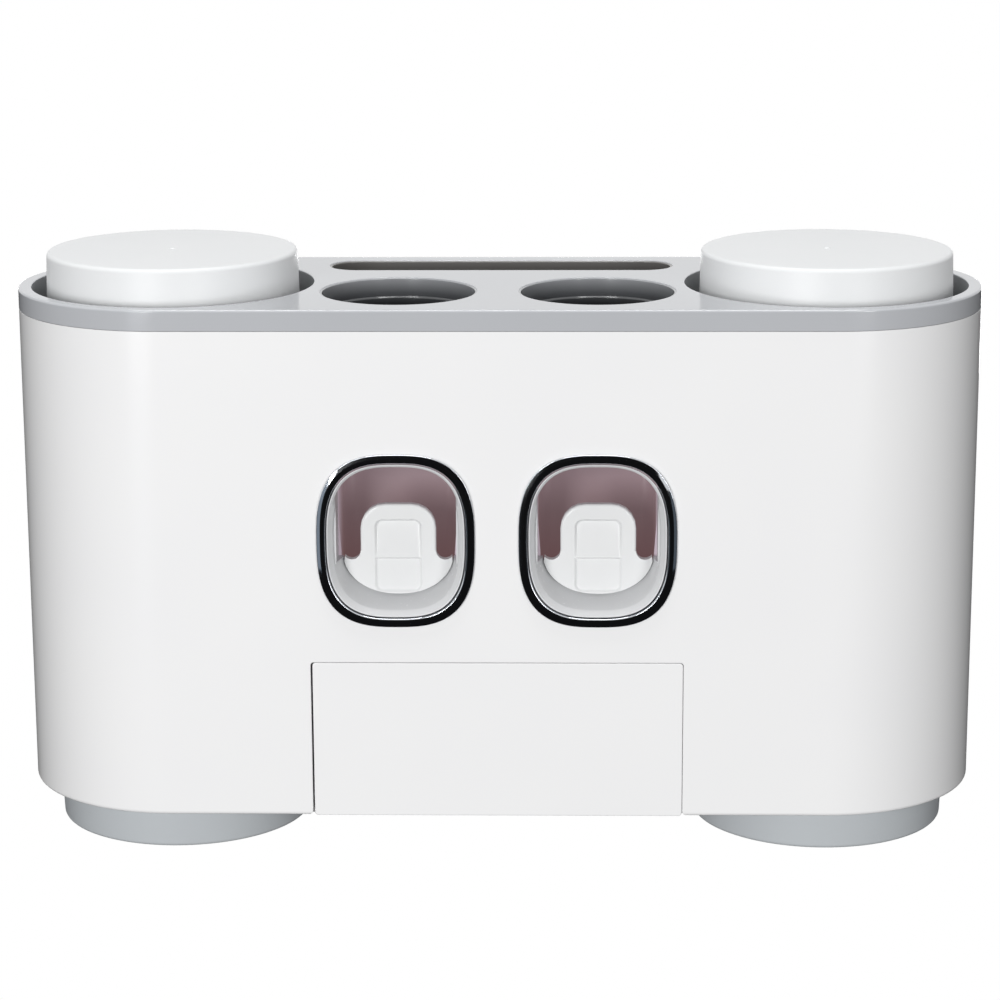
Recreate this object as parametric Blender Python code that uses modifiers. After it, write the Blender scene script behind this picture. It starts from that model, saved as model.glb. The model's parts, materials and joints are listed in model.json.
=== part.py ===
"""Wall toothbrush holder: two tumblers, two paste squeezers, a brush slot and a drawer.

World frame in metres: X to the viewer's right, Y into the wall, Z up. The origin lies on the
wall, at mid width and mid height of the housing, so the front of the housing faces -Y.
"""

import math

import bmesh
import bpy
from mathutils import Matrix, Vector

# Facets
WELL_STEPS = 24
TUMBLER_STEPS = 28
TUBE_STEPS = 20
PUMP_STEPS = 12
DRAIN_STEPS = 8
SMALL_STEPS = 10
END_STEPS = 14
WINDOW_STEPS = 28
CORNER_STEPS = 3
SCOOP_STEPS = 96

# Clearances
SEAT_GAP = 0.0003
OVERRUN = 0.0020
HAIR_GAP = 0.0005
MERGE_DISTANCE = 0.00001

# Housing
HOUSING_WALL = 0.0022
HOUSING_FLOOR = 0.0020
HOUSING_WALL_GAP = 0.0010
HOUSING_EDGE_ROUND = 0.0008

# Top deck: from the wall to the front, and from the middle to the ends
DECK_BACK_MARGIN = 0.0069
DECK_FRONT_MARGIN = 0.00895
SLOT_TUBE_WEB = 0.01305
TUBE_TUBE_WEB = 0.0133
WELL_TUBE_WEB = 0.00345
SLOT_OVERHANG = 0.00075
BAND_HEIGHT = 0.0060
DECK_THICKNESS = 0.0025
DECK_EDGE_ROUND = 0.0006
DECK_BOSS_LENGTH = 0.0150

# Back panel, its bosses and screws
PANEL_END_INSET = 0.0095
PANEL_THICKNESS = 0.0025
BOSS_INSET = 0.0230
BOSS_WIDTH = 0.0090
BOSS_DEPTH = 0.0090
BOSS_HEIGHT = 0.0130
SCREW_RADIUS = 0.0014
SCREW_HEAD_RADIUS = 0.0030
SCREW_HEAD_HEIGHT = 0.0014
SCREW_HEAD_RIM = 0.0003
SCREW_LENGTH = 0.0095
SCREW_EDGE_DISTANCE = 0.0050

# Wall plate, its pad and hooks
PAD_THICKNESS = 0.0008
PAD_MARGIN = 0.0040
PLATE_SIDE_MARGIN = 0.0140
PLATE_HEIGHT = 0.0800
PLATE_THICKNESS = 0.0018
PLATE_CENTRE_Z = 0.0100
PLATE_CORNER = 0.0080
PLATE_PLAY = 0.0008
HOOK_INSET = 0.0120
HOOK_WIDTH = 0.0100
HOOK_NECK = 0.0040
HOOK_LIP = 0.0080
HOOK_LIP_THICKNESS = 0.0020
HOOK_TOP_DROP = 0.0180
LIFT_TRAVEL = 0.0090

# Tumblers
TUMBLER_HEIGHT = 0.0896
TUMBLER_PROUD = 0.0102
TUMBLER_DRAFT = 0.0023
TUMBLER_WALL = 0.0020
TUMBLER_BASE = 0.0026
TUMBLER_EDGE_ROUND = 0.0042
TUMBLER_NUB_RADIUS = 0.0011
TUMBLER_NUB_HEIGHT = 0.0003

# Tumbler wells
WELL_WALL = 0.0013
WELL_SIDE_GAP = 0.0004
WELL_MOUTH_PLAY = 0.0025
WELL_RIM_PLAY = 0.0012
WELL_LEDGE_STEP = 0.0018
WELL_FOOT_DRAFT = 0.0006
WELL_FOOT_ROUND = 0.0012
WELL_PROTRUSION = 0.0129
WELL_COLLAR_WIDTH = 0.0028
WELL_COLLAR_HEIGHT = 0.0016
WELL_DRAIN_RADIUS = 0.0025
WELL_DRAIN_RING = 0.0200
WELL_DRAIN_COUNT = 6

# Tube wells
TUBE_HOLE_RADIUS = 0.02265
TUBE_WALL = 0.0014
TUBE_FLANGE_WIDTH = 0.0032
TUBE_FLANGE_THICKNESS = 0.0016
TUBE_STEP_DEPTH = 0.0068
TUBE_STEP_WIDTH = 0.0014
TUBE_BARREL_DEPTH = 0.0170
TUBE_FUNNEL_DEPTH = 0.0290
TUBE_NECK_RADIUS = 0.0072
TUBE_NECK_LENGTH = 0.0070

# Brush slot
SLOT_HALF_WIDTH = 0.0089
SLOT_WALL = 0.0015
SLOT_DRAFT = 0.0008
SLOT_FLANGE_WIDTH = 0.0028
SLOT_FLANGE_THICKNESS = 0.0015
SLOT_DRAWER_GAP = 0.0089
SLOT_FLOOR = 0.0016
SLOT_DRAIN_PITCH = 0.0260
SLOT_DRAIN_RADIUS = 0.0022

# Windows: chrome ring and bezel
WINDOW_DRAWER_DROP = 0.0369
WINDOW_POWER = 2.85
RING_HALF_WIDTH = 0.0230
RING_HALF_HEIGHT = 0.0258
RING_BAND = 0.0023
RING_PROUD = 0.0010
RING_SEAT_LAP = 0.0008
RING_NECK_WALL = 0.0011
RING_ROUND = 0.0005
BEZEL_WALL = 0.0013
BEZEL_INSET = 0.0027
BEZEL_FLARE = 0.0027
BEZEL_FLARE_DEPTH = 0.0050
BEZEL_DEPTH = 0.0118
BEZEL_DISH_RISE = 0.0030
BEZEL_FLANGE_WIDTH = 0.0012
BEZEL_FLANGE_THICKNESS = 0.0014

# Push lever
LEVER_THICKNESS = 0.0026
LEVER_BACK_GAP = 0.0006
LEVER_TONGUE_HALF_WIDTH = 0.0110
LEVER_TONGUE_TOP = 0.0086
LEVER_TONGUE_CORNER = 0.0073
LEVER_SKIRT_HALF_WIDTH = 0.0152
LEVER_SKIRT_HALF_HEIGHT = 0.0142
LEVER_SKIRT_CENTRE = -0.0050
LEVER_SKIRT_POWER = 2.4
LEVER_HORN_DEGREES = 50
LEVER_ROUND = 0.0007
LEVER_PLAY = 0.0006
LEVER_PAD_HALF_WIDTH = 0.0071
LEVER_PAD_TOP = 0.0042
LEVER_PAD_BOTTOM = -0.0186
LEVER_PAD_STEP = -0.0076
LEVER_PAD_CORNER = 0.0026
LEVER_PAD_DEPTH = 0.0005
LEVER_SCOOP_DEPTH = 0.0011
LEVER_PIVOT_DROP = 0.0170
LEVER_PIVOT_BACK = 0.0022
LEVER_KNUCKLE_RADIUS = 0.0025
LEVER_KNUCKLE_HALF_WIDTH = 0.0060
LEVER_PIN_RADIUS = 0.0015
LEVER_PUSH_RADIUS = 0.0020
LEVER_PUSH_HALF_WIDTH = 0.0050

# Squeezer chamber
CHAMBER_HALF_WIDTH = 0.0175
CHAMBER_WALL = 0.0015
CHAMBER_TOP = 0.0275
CHAMBER_BOTTOM = -0.0215
CHAMBER_DEPTH = 0.0220
CHAMBER_NECK_GAP = 0.0030
CHAMBER_LIP_HALF_WIDTH = 0.0156
CHAMBER_LIP = 0.0010
CHAMBER_TAB_HALF_WIDTH = 0.0034
CHAMBER_TAB_LENGTH = 0.0072
CHAMBER_TAB_THICKNESS = 0.0020
CHAMBER_TAB_OFFSET = 0.0125
CHAMBER_DUCT_HALF_WIDTH = 0.0035
CHAMBER_DUCT_DEPTH = 0.0030
SHELL_BOSS_RADIUS = 0.0031

# Pump
PUMP_DROP = 0.0060
PLUNGER_RADIUS = 0.0078
PLUNGER_THICKNESS = 0.0014
PLUNGER_STEM_RADIUS = 0.0026
PLUNGER_STEM_LENGTH = 0.0028
BELLOWS_RADIUS = 0.0055
BELLOWS_NECK_RADIUS = 0.0042
BELLOWS_WALL = 0.0009
BELLOWS_RIBS = 3
SPRING_RADIUS = 0.0068
SPRING_WIRE = 0.0008
SPRING_TURNS = 4
SPRING_POINTS = 8
SOCKET_WALL = 0.0018
SOCKET_HEIGHT = 0.0056
NOZZLE_RADIUS = 0.0045
NOZZLE_TIP_RADIUS = 0.0030
NOZZLE_BORE = 0.0012
NOZZLE_LENGTH = 0.0070
NOZZLE_HEAD_RADIUS = 0.0065
NOZZLE_HEAD_HEIGHT = 0.0015

# Drawer
DRAWER_WELL_GAP = 0.0054
DRAWER_FRONT_HEIGHT = 0.0471
DRAWER_FRONT_THICKNESS = 0.0025
DRAWER_CORNER = 0.0010
DRAWER_SHIFT = 0.0001
TRAY_INSET = 0.0045
TRAY_WALL = 0.0016
TRAY_FLOOR_LIFT = 0.0027
TRAY_TOP_DROP = 0.0040
TRAY_BACK_GAP = 0.0110
TRAY_CORNER = 0.0030
RUNNER_FOOT = 0.0080
RUNNER_HEIGHT = 0.0150
RUNNER_WALL = 0.0018
RUNNER_END_SPACE = 0.0040
FINGER_NOTCH_RADIUS = 0.0120

# Depth of the housing, which holds the slot behind the tube holes
DECK_DEPTH = (
    DECK_BACK_MARGIN + 2 * SLOT_HALF_WIDTH + SLOT_TUBE_WEB + 2 * TUBE_HOLE_RADIUS
    + DECK_FRONT_MARGIN
)
HOUSING_END_RADIUS = DECK_DEPTH / 2

# Wells and tumblers, which fill the housing's half-round ends
WELL_OPENING_RADIUS = HOUSING_END_RADIUS - HOUSING_WALL - WELL_SIDE_GAP - WELL_WALL
TUMBLER_RIM_RADIUS = WELL_OPENING_RADIUS - WELL_MOUTH_PLAY
TUMBLER_BASE_RADIUS = TUMBLER_RIM_RADIUS - TUMBLER_DRAFT
WELL_FOOT_RADIUS = TUMBLER_RIM_RADIUS - WELL_LEDGE_STEP

# Places across, from the middle to the ends
SQUEEZER_OFFSET = TUBE_HOLE_RADIUS + TUBE_TUBE_WEB / 2
SLOT_HALF_LENGTH = SQUEEZER_OFFSET + TUBE_HOLE_RADIUS + SLOT_OVERHANG
HOUSING_END_OFFSET = SQUEEZER_OFFSET + TUBE_HOLE_RADIUS + WELL_TUBE_WEB + WELL_OPENING_RADIUS
DRAWER_HALF_WIDTH = HOUSING_END_OFFSET - WELL_FOOT_RADIUS - DRAWER_WELL_GAP
PANEL_HALF_WIDTH = HOUSING_END_OFFSET - PANEL_END_INSET
BOSS_OFFSET = PANEL_HALF_WIDTH - BOSS_INSET
PLATE_WIDTH = 2 * (PANEL_HALF_WIDTH - PLATE_SIDE_MARGIN)
HOOK_OFFSET = PLATE_WIDTH / 2 - HOOK_INSET

# Heights: funnel, neck and chamber stack above the window's middle, the drawer lies below it
TUBE_STACK = TUBE_FUNNEL_DEPTH + TUBE_NECK_LENGTH + CHAMBER_NECK_GAP
WINDOW_DROP = TUBE_STACK + CHAMBER_TOP + CHAMBER_WALL
HOUSING_HEIGHT = WINDOW_DROP + WINDOW_DRAWER_DROP + DRAWER_FRONT_HEIGHT
SLOT_DEPTH = HOUSING_HEIGHT - DRAWER_FRONT_HEIGHT - SLOT_DRAWER_GAP

# Planes that the sizes above give
TOP_Z = HOUSING_HEIGHT / 2
BOTTOM_Z = -TOP_Z
BACK_Y = -HOUSING_WALL_GAP
MID_Y = BACK_Y - HOUSING_END_RADIUS
FRONT_Y = MID_Y - HOUSING_END_RADIUS
SLOT_CENTRE_Y = BACK_Y - DECK_BACK_MARGIN - SLOT_HALF_WIDTH
TUBE_HOLE_Y = FRONT_Y + DECK_FRONT_MARGIN + TUBE_HOLE_RADIUS
TRAY_BACK_Y = BACK_Y - TRAY_BACK_GAP
SHELL_TOP_Z = TOP_Z - BAND_HEIGHT - SEAT_GAP
FLOOR_TOP_Z = BOTTOM_Z + HOUSING_FLOOR
DECK_UNDER_Z = TOP_Z - DECK_THICKNESS - SEAT_GAP
SHELL_FRONT_INNER_Y = FRONT_Y + HOUSING_WALL
PANEL_FRONT_Y = BACK_Y - PANEL_THICKNESS
PLATE_BACK_Y = -PAD_THICKNESS - SEAT_GAP
PLATE_FRONT_Y = PLATE_BACK_Y - PLATE_THICKNESS
POCKET_Y = PLATE_FRONT_Y - SEAT_GAP
POCKET_FRONT_Y = POCKET_Y - PANEL_THICKNESS
PLATE_TOP_Z = PLATE_CENTRE_Z + PLATE_HEIGHT / 2
PLATE_BOTTOM_Z = PLATE_CENTRE_Z - PLATE_HEIGHT / 2
HOOK_TOP_Z = PLATE_TOP_Z - HOOK_TOP_DROP
RIM_Z = TOP_Z + TUMBLER_PROUD - TUMBLER_HEIGHT
LEDGE_Z = RIM_Z - SEAT_GAP
WELL_FOOT_Z = BOTTOM_Z - WELL_PROTRUSION
WINDOW_Z = TOP_Z - WINDOW_DROP
BEZEL_LIP_Y = FRONT_Y - RING_PROUD / 2
BEZEL_BACK_Y = BEZEL_LIP_Y + BEZEL_DEPTH
CHAMBER_FRONT_Y = BEZEL_BACK_Y + BEZEL_WALL + SEAT_GAP
CHAMBER_BACK_Y = CHAMBER_FRONT_Y + CHAMBER_DEPTH
LEVER_BACK_Y = CHAMBER_FRONT_Y - LEVER_BACK_GAP
LEVER_FRONT_Y = LEVER_BACK_Y - LEVER_THICKNESS
PIVOT_Y = LEVER_BACK_Y + LEVER_PIVOT_BACK
PIVOT_Z = WINDOW_Z - LEVER_PIVOT_DROP
PUMP_Z = WINDOW_Z - PUMP_DROP
PUSH_Y = LEVER_BACK_Y + LEVER_PUSH_RADIUS - LEVER_ROUND
PLUNGER_FRONT_Y = PUSH_Y + LEVER_PUSH_RADIUS + SEAT_GAP
PLUNGER_BACK_Y = PLUNGER_FRONT_Y + PLUNGER_THICKNESS
CHAMBER_ROOF_Z = WINDOW_Z + CHAMBER_TOP + CHAMBER_WALL
DRAWER_TOP_Z = BOTTOM_Z + DRAWER_FRONT_HEIGHT
DRAWER_BACK_Y = FRONT_Y + DRAWER_FRONT_THICKNESS
TRAY_HALF_WIDTH = DRAWER_HALF_WIDTH - TRAY_INSET
TRAY_UNDER_Z = FLOOR_TOP_Z + TRAY_FLOOR_LIFT
TRAY_TOP_Z = DRAWER_TOP_Z - TRAY_TOP_DROP
SIDES = (("left", -1), ("right", 1))

# Turns a profile drawn down -Z so that it points down -Y, out of the wall
FACE_FRONT = (math.radians(-90), 0, 0)

# Finishes: base colour, roughness, metallic
FINISHES = {
    "white_abs": ((0.87, 0.87, 0.87), 0.22, 0.0),
    "white_pp": ((0.84, 0.85, 0.85), 0.30, 0.0),
    "grey_abs": ((0.47, 0.48, 0.49), 0.18, 0.0),
    "grey_pp": ((0.54, 0.57, 0.60), 0.35, 0.0),
    "chrome": ((0.60, 0.61, 0.63), 0.06, 1.0),
    "smoke_pc": ((0.24, 0.15, 0.15), 0.35, 0.0),
    "silicone": ((0.70, 0.70, 0.68), 0.55, 0.0),
    "steel": ((0.55, 0.55, 0.56), 0.30, 1.0),
    "foam_tape": ((0.80, 0.80, 0.78), 0.80, 0.0),
}


def clear_scene():
    """Empties the file that the script runs in."""
    for thing in list(bpy.data.objects):
        bpy.data.objects.remove(thing)
    for group in list(bpy.data.collections):
        bpy.data.collections.remove(group)


def new_collection(name):
    """Adds a collection under the scene's own."""
    group = bpy.data.collections.new(name)
    bpy.context.scene.collection.children.link(group)
    return group


def finish_material(name):
    """One Principled material per finish."""
    found = bpy.data.materials.get(name)
    if found:
        return found
    colour, roughness, metallic = FINISHES[name]
    material = bpy.data.materials.new(name)
    material.use_nodes = True
    shader = material.node_tree.nodes["Principled BSDF"]
    shader.inputs["Base Color"].default_value = (*colour, 1.0)
    shader.inputs["Roughness"].default_value = roughness
    shader.inputs["Metallic"].default_value = metallic
    return material


def to_object(name, bm, finish=None, sharp_degrees=35):
    """Turns a bmesh into an object: a part if it has a finish, a cutter if not."""
    mesh = bpy.data.meshes.new(name)
    bm.to_mesh(mesh)
    bm.free()
    piece = bpy.data.objects.new(name, mesh)
    if finish:
        bpy.data.collections["toothbrush_holder"].objects.link(piece)
        mesh.materials.append(finish_material(finish))
        mesh.shade_smooth()
        mesh.set_sharp_from_angle(angle=math.radians(sharp_degrees))
    else:
        bpy.data.collections["cutters"].objects.link(piece)
        piece.hide_render = True
        piece.display_type = "WIRE"
    return piece


def cut(piece, cutter, operation="DIFFERENCE"):
    """Adds a Boolean that takes the cutter away from the piece, or joins it on."""
    step = piece.modifiers.new(cutter.name, "BOOLEAN")
    step.operation = operation
    step.object = cutter
    step.solver = "EXACT"
    return piece


def join(piece, other):
    """Joins another shape on."""
    return cut(piece, other, "UNION")


def box(name, low, high, finish=None, corner=0.0, corner_axis=2):
    """A box between two corners, its edges along one axis rounded if asked."""
    bm = bmesh.new()
    bmesh.ops.create_cube(bm, size=1.0)
    low, high = Vector(low), Vector(high)
    bmesh.ops.scale(bm, vec=high - low, verts=bm.verts)
    bmesh.ops.translate(bm, vec=(low + high) / 2, verts=bm.verts)
    if corner:
        edges = []
        for edge in bm.edges:
            along = edge.verts[1].co - edge.verts[0].co
            if abs(along[corner_axis]) > along.length / 2:
                edges.append(edge)
        bmesh.ops.bevel(bm, geom=edges, offset=corner, segments=CORNER_STEPS, profile=0.5,
                         affect="EDGES")
    return to_object(name, bm, finish)


def rod(name, start, end, radius, finish=None, steps=SMALL_STEPS):
    """A straight round bar between two points."""
    start, end = Vector(start), Vector(end)
    along = end - start
    turn = along.to_track_quat("Z", "Y").to_matrix().to_4x4()
    bm = bmesh.new()
    bmesh.ops.create_cone(
        bm,
        cap_ends=True,
        segments=steps,
        radius1=radius,
        radius2=radius,
        depth=along.length,
        matrix=Matrix.Translation((start + end) / 2) @ turn,
    )
    return to_object(name, bm, finish)


def turned(name, profile, axis_point, finish=None, steps=TUBE_STEPS, turn=None, closed=False):
    """A turned shape: a profile of (radius, height), outer side first and downwards.

    The profile starts and ends on the axis, unless it is closed round a bore.
    """
    bm = bmesh.new()
    points = [bm.verts.new((radius, 0, height)) for radius, height in profile]
    for first, second in zip(points, points[1:]):
        bm.edges.new((first, second))
    if closed:
        bm.edges.new((points[-1], points[0]))
    piece = to_object(name, bm, finish)
    screw = piece.modifiers.new("Turn", "SCREW")
    screw.axis = "Z"
    screw.steps = steps
    screw.render_steps = steps
    screw.use_merge_vertices = True
    screw.merge_threshold = MERGE_DISTANCE
    screw.use_smooth_shade = True
    piece.location = axis_point
    if turn:
        piece.rotation_euler = turn
    return piece


def loft(name, rings, finish=None, closed=False):
    """Skins a run of point rings. Closed joins the last ring to the first, else both are capped."""
    bm = bmesh.new()
    loops = [[bm.verts.new(point) for point in ring] for ring in rings]
    pairs = list(zip(loops, loops[1:]))
    if closed:
        pairs.append((loops[-1], loops[0]))
    for lower, upper in pairs:
        count = len(lower)
        for i in range(count):
            j = (i + 1) % count
            bm.faces.new((lower[i], lower[j], upper[j], upper[i]))
    if not closed:
        bm.faces.new(loops[0][::-1])
        bm.faces.new(loops[-1])
    bmesh.ops.recalc_face_normals(bm, faces=bm.faces)
    return to_object(name, bm, finish)


def joint_axis(name, place):
    """An empty on a joint's axis, which carries the pieces that move with it."""
    empty = bpy.data.objects.new(name, None)
    empty.location = place
    empty.empty_display_size = HOUSING_WALL
    bpy.data.collections["toothbrush_holder"].objects.link(empty)
    return empty


def hang(empty, *pieces):
    """Parents pieces to a joint's empty and leaves them where they are."""
    for piece in pieces:
        piece.parent = empty
        piece.matrix_parent_inverse = Matrix.Translation(-empty.location)


def stadium(radius, half_length, centre_y, z):
    """A level ring: two half rounds joined by straight sides, counter-clockwise from above."""
    ring = []
    for side in (1, -1):
        for i in range(END_STEPS + 1):
            angle = math.pi * (i / END_STEPS - 0.5)
            x = side * (half_length + radius * math.cos(angle))
            ring.append((x, centre_y + side * radius * math.sin(angle), z))
    return ring


def oval(half_width, half_up, half_down, centre_z, power, x0, y):
    """An upright superellipse ring round a window, with its own upper and lower half."""
    ring = []
    for i in range(WINDOW_STEPS):
        angle = 2 * math.pi * i / WINDOW_STEPS
        c, s = math.cos(angle), math.sin(angle)
        u = math.copysign(abs(c) ** (2 / power), c) * half_width
        half = half_up if s > 0 else half_down
        w = math.copysign(abs(s) ** (2 / power), s) * half
        ring.append((x0 + u, y, WINDOW_Z + centre_z + w))
    return ring


def arc(centre, radius, start_degrees, end_degrees, steps=CORNER_STEPS):
    """Points along an arc in a plane."""
    points = []
    for i in range(steps + 1):
        angle = math.radians(start_degrees + (end_degrees - start_degrees) * i / steps)
        points.append((centre[0] + radius * math.cos(angle), centre[1] + radius * math.sin(angle)))
    return points


def build_wall_plate():
    """The taped plate that stays on the wall, with two upturned hooks."""
    half = PLATE_WIDTH / 2
    plate = box(
        "wall_plate",
        (-half, PLATE_FRONT_Y, PLATE_BOTTOM_Z),
        (half, PLATE_BACK_Y, PLATE_TOP_Z),
        "white_abs",
        corner=PLATE_CORNER,
        corner_axis=1,
    )
    box(
        "adhesive_pad",
        (-half + PAD_MARGIN, -PAD_THICKNESS, PLATE_BOTTOM_Z + PAD_MARGIN),
        (half - PAD_MARGIN, 0, PLATE_TOP_Z - PAD_MARGIN),
        "foam_tape",
        corner=PLATE_CORNER - PAD_MARGIN / 2,
        corner_axis=1,
    )
    lip_back_y = POCKET_FRONT_Y - SEAT_GAP
    lip_front_y = lip_back_y - HOOK_LIP_THICKNESS
    for side, sign in SIDES:
        x0 = sign * HOOK_OFFSET
        low_x, high_x = x0 - HOOK_WIDTH / 2, x0 + HOOK_WIDTH / 2
        low_z = HOOK_TOP_Z - HOOK_NECK
        neck = box(
            f"hook_neck_{side}",
            (low_x, lip_front_y + HOOK_LIP_THICKNESS / 2, low_z),
            (high_x, PLATE_FRONT_Y + PLATE_THICKNESS / 2, HOOK_TOP_Z),
        )
        lip = box(
            f"hook_lip_{side}",
            (low_x, lip_front_y, low_z),
            (high_x, lip_back_y, HOOK_TOP_Z + HOOK_LIP),
        )
        join(plate, neck)
        join(plate, lip)


def build_front_shell():
    """The white housing: front, half-round ends and floor, with its windows and drawer gap."""
    rings = []
    edge = HOUSING_EDGE_ROUND
    outer = (
        (edge, BOTTOM_Z),
        (edge / 4, BOTTOM_Z + edge / 4),
        (0, BOTTOM_Z + edge),
        (0, SHELL_TOP_Z),
        (HOUSING_WALL, SHELL_TOP_Z),
        (HOUSING_WALL, FLOOR_TOP_Z),
    )
    for inset, z in outer:
        rings.append(stadium(HOUSING_END_RADIUS - inset, HOUSING_END_OFFSET, MID_Y, z))
    shell = loft("front_shell", rings, "white_abs")

    back_gap = box(
        "shell_back_gap",
        (-PANEL_HALF_WIDTH - SEAT_GAP, PANEL_FRONT_Y - SEAT_GAP, FLOOR_TOP_Z),
        (PANEL_HALF_WIDTH + SEAT_GAP, BACK_Y + OVERRUN, SHELL_TOP_Z + OVERRUN),
    )
    cut(shell, back_gap)

    for side, sign in SIDES:
        x0 = sign * SQUEEZER_OFFSET
        window = loft(f"shell_window_{side}", window_rings(
            x0, RING_SEAT_LAP, (FRONT_Y - OVERRUN, SHELL_FRONT_INNER_Y + OVERRUN)))
        cut(shell, window)
        foot_hole_radius = WELL_FOOT_RADIUS + WELL_FOOT_DRAFT + SEAT_GAP
        hole = rod(
            f"shell_foot_hole_{side}",
            (sign * HOUSING_END_OFFSET, MID_Y, BOTTOM_Z - OVERRUN),
            (sign * HOUSING_END_OFFSET, MID_Y, FLOOR_TOP_Z + OVERRUN),
            foot_hole_radius,
            steps=WELL_STEPS,
        )
        cut(shell, hole)

    half = DRAWER_HALF_WIDTH + HAIR_GAP
    drawer_gap = box(
        "shell_drawer_gap",
        (-half, FRONT_Y - OVERRUN, BOTTOM_Z - OVERRUN),
        (half, DRAWER_BACK_Y + SEAT_GAP, DRAWER_TOP_Z + SEAT_GAP),
        corner=DRAWER_CORNER,
        corner_axis=1,
    )
    cut(shell, drawer_gap)
    notch = rod(
        "shell_finger_notch",
        (0, DRAWER_BACK_Y, BOTTOM_Z - OVERRUN),
        (0, DRAWER_BACK_Y, FLOOR_TOP_Z + OVERRUN),
        FINGER_NOTCH_RADIUS,
        steps=TUBE_STEPS,
    )
    cut(shell, notch)

    for side, sign in SIDES:
        boss = box(
            f"shell_back_boss_{side}",
            (sign * BOSS_OFFSET - BOSS_WIDTH / 2, PANEL_FRONT_Y - SEAT_GAP - BOSS_DEPTH,
             FLOOR_TOP_Z - HOUSING_FLOOR / 2),
            (sign * BOSS_OFFSET + BOSS_WIDTH / 2, PANEL_FRONT_Y - SEAT_GAP,
             FLOOR_TOP_Z + BOSS_HEIGHT),
        )
        join(shell, boss)
        for u, z in chamber_tab_places(sign):
            label = "upper" if z > WINDOW_Z else "lower"
            post = rod(
                f"shell_post_{side}_{label}",
                (u, SHELL_FRONT_INNER_Y - HOUSING_WALL / 2, z),
                (u, CHAMBER_FRONT_Y - SEAT_GAP, z),
                SHELL_BOSS_RADIUS,
            )
            join(shell, post)
    for place in screw_places(BOTTOM_Z):
        cut(shell, screw_hole("shell_screw_hole", place, SCREW_LENGTH))
    for _, sign in SIDES:
        for u, z in chamber_tab_places(sign):
            head_y = CHAMBER_FRONT_Y + CHAMBER_TAB_THICKNESS
            cut(shell, screw_hole("shell_post_hole", (u, head_y, z), SCREW_LENGTH))
    return shell


def window_rings(x0, inset, y_values):
    """Rings of the window outline, one for each depth, all drawn in by one inset."""
    a = RING_HALF_WIDTH - inset
    b = RING_HALF_HEIGHT - inset
    return [oval(a, b, b, 0, WINDOW_POWER, x0, y) for y in y_values]


def screw_places(edge_z):
    """Where the back screws' heads lie along the panel's lower or upper edge."""
    if edge_z < 0:
        z = FLOOR_TOP_Z + SEAT_GAP + SCREW_EDGE_DISTANCE + HOUSING_FLOOR
    else:
        z = SHELL_TOP_Z - SCREW_EDGE_DISTANCE
    return [(sign * BOSS_OFFSET, BACK_Y - SEAT_GAP, z) for _, sign in SIDES]


def chamber_tab_places(sign):
    """Centres of a chamber's two screws: one above the window, one below it."""
    tab_reach = CHAMBER_WALL + CHAMBER_TAB_LENGTH - CHAMBER_TAB_HALF_WIDTH
    x0 = sign * SQUEEZER_OFFSET
    upper = (x0 + sign * CHAMBER_TAB_OFFSET, WINDOW_Z + CHAMBER_TOP + tab_reach)
    lower = (x0 - sign * CHAMBER_TAB_OFFSET, WINDOW_Z + CHAMBER_BOTTOM - tab_reach)
    return (upper, lower)


def screw_hole(name, head, length):
    """A cutter along -Y for a screw's shank, from its head's seat on."""
    x, y, z = head
    return rod(
        name,
        (x, y + OVERRUN, z),
        (x, y - length - SEAT_GAP, z),
        SCREW_RADIUS + SEAT_GAP,
    )


def build_screw(name, head, length):
    """A countersunk screw that points to -Y."""
    profile = (
        (0, 0),
        (SCREW_HEAD_RADIUS, 0),
        (SCREW_HEAD_RADIUS, -SCREW_HEAD_RIM),
        (SCREW_RADIUS, -SCREW_HEAD_HEIGHT),
        (SCREW_RADIUS, -length + SCREW_RADIUS),
        (0, -length),
    )
    return turned(name, profile, head, "steel", SMALL_STEPS, FACE_FRONT)


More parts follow.
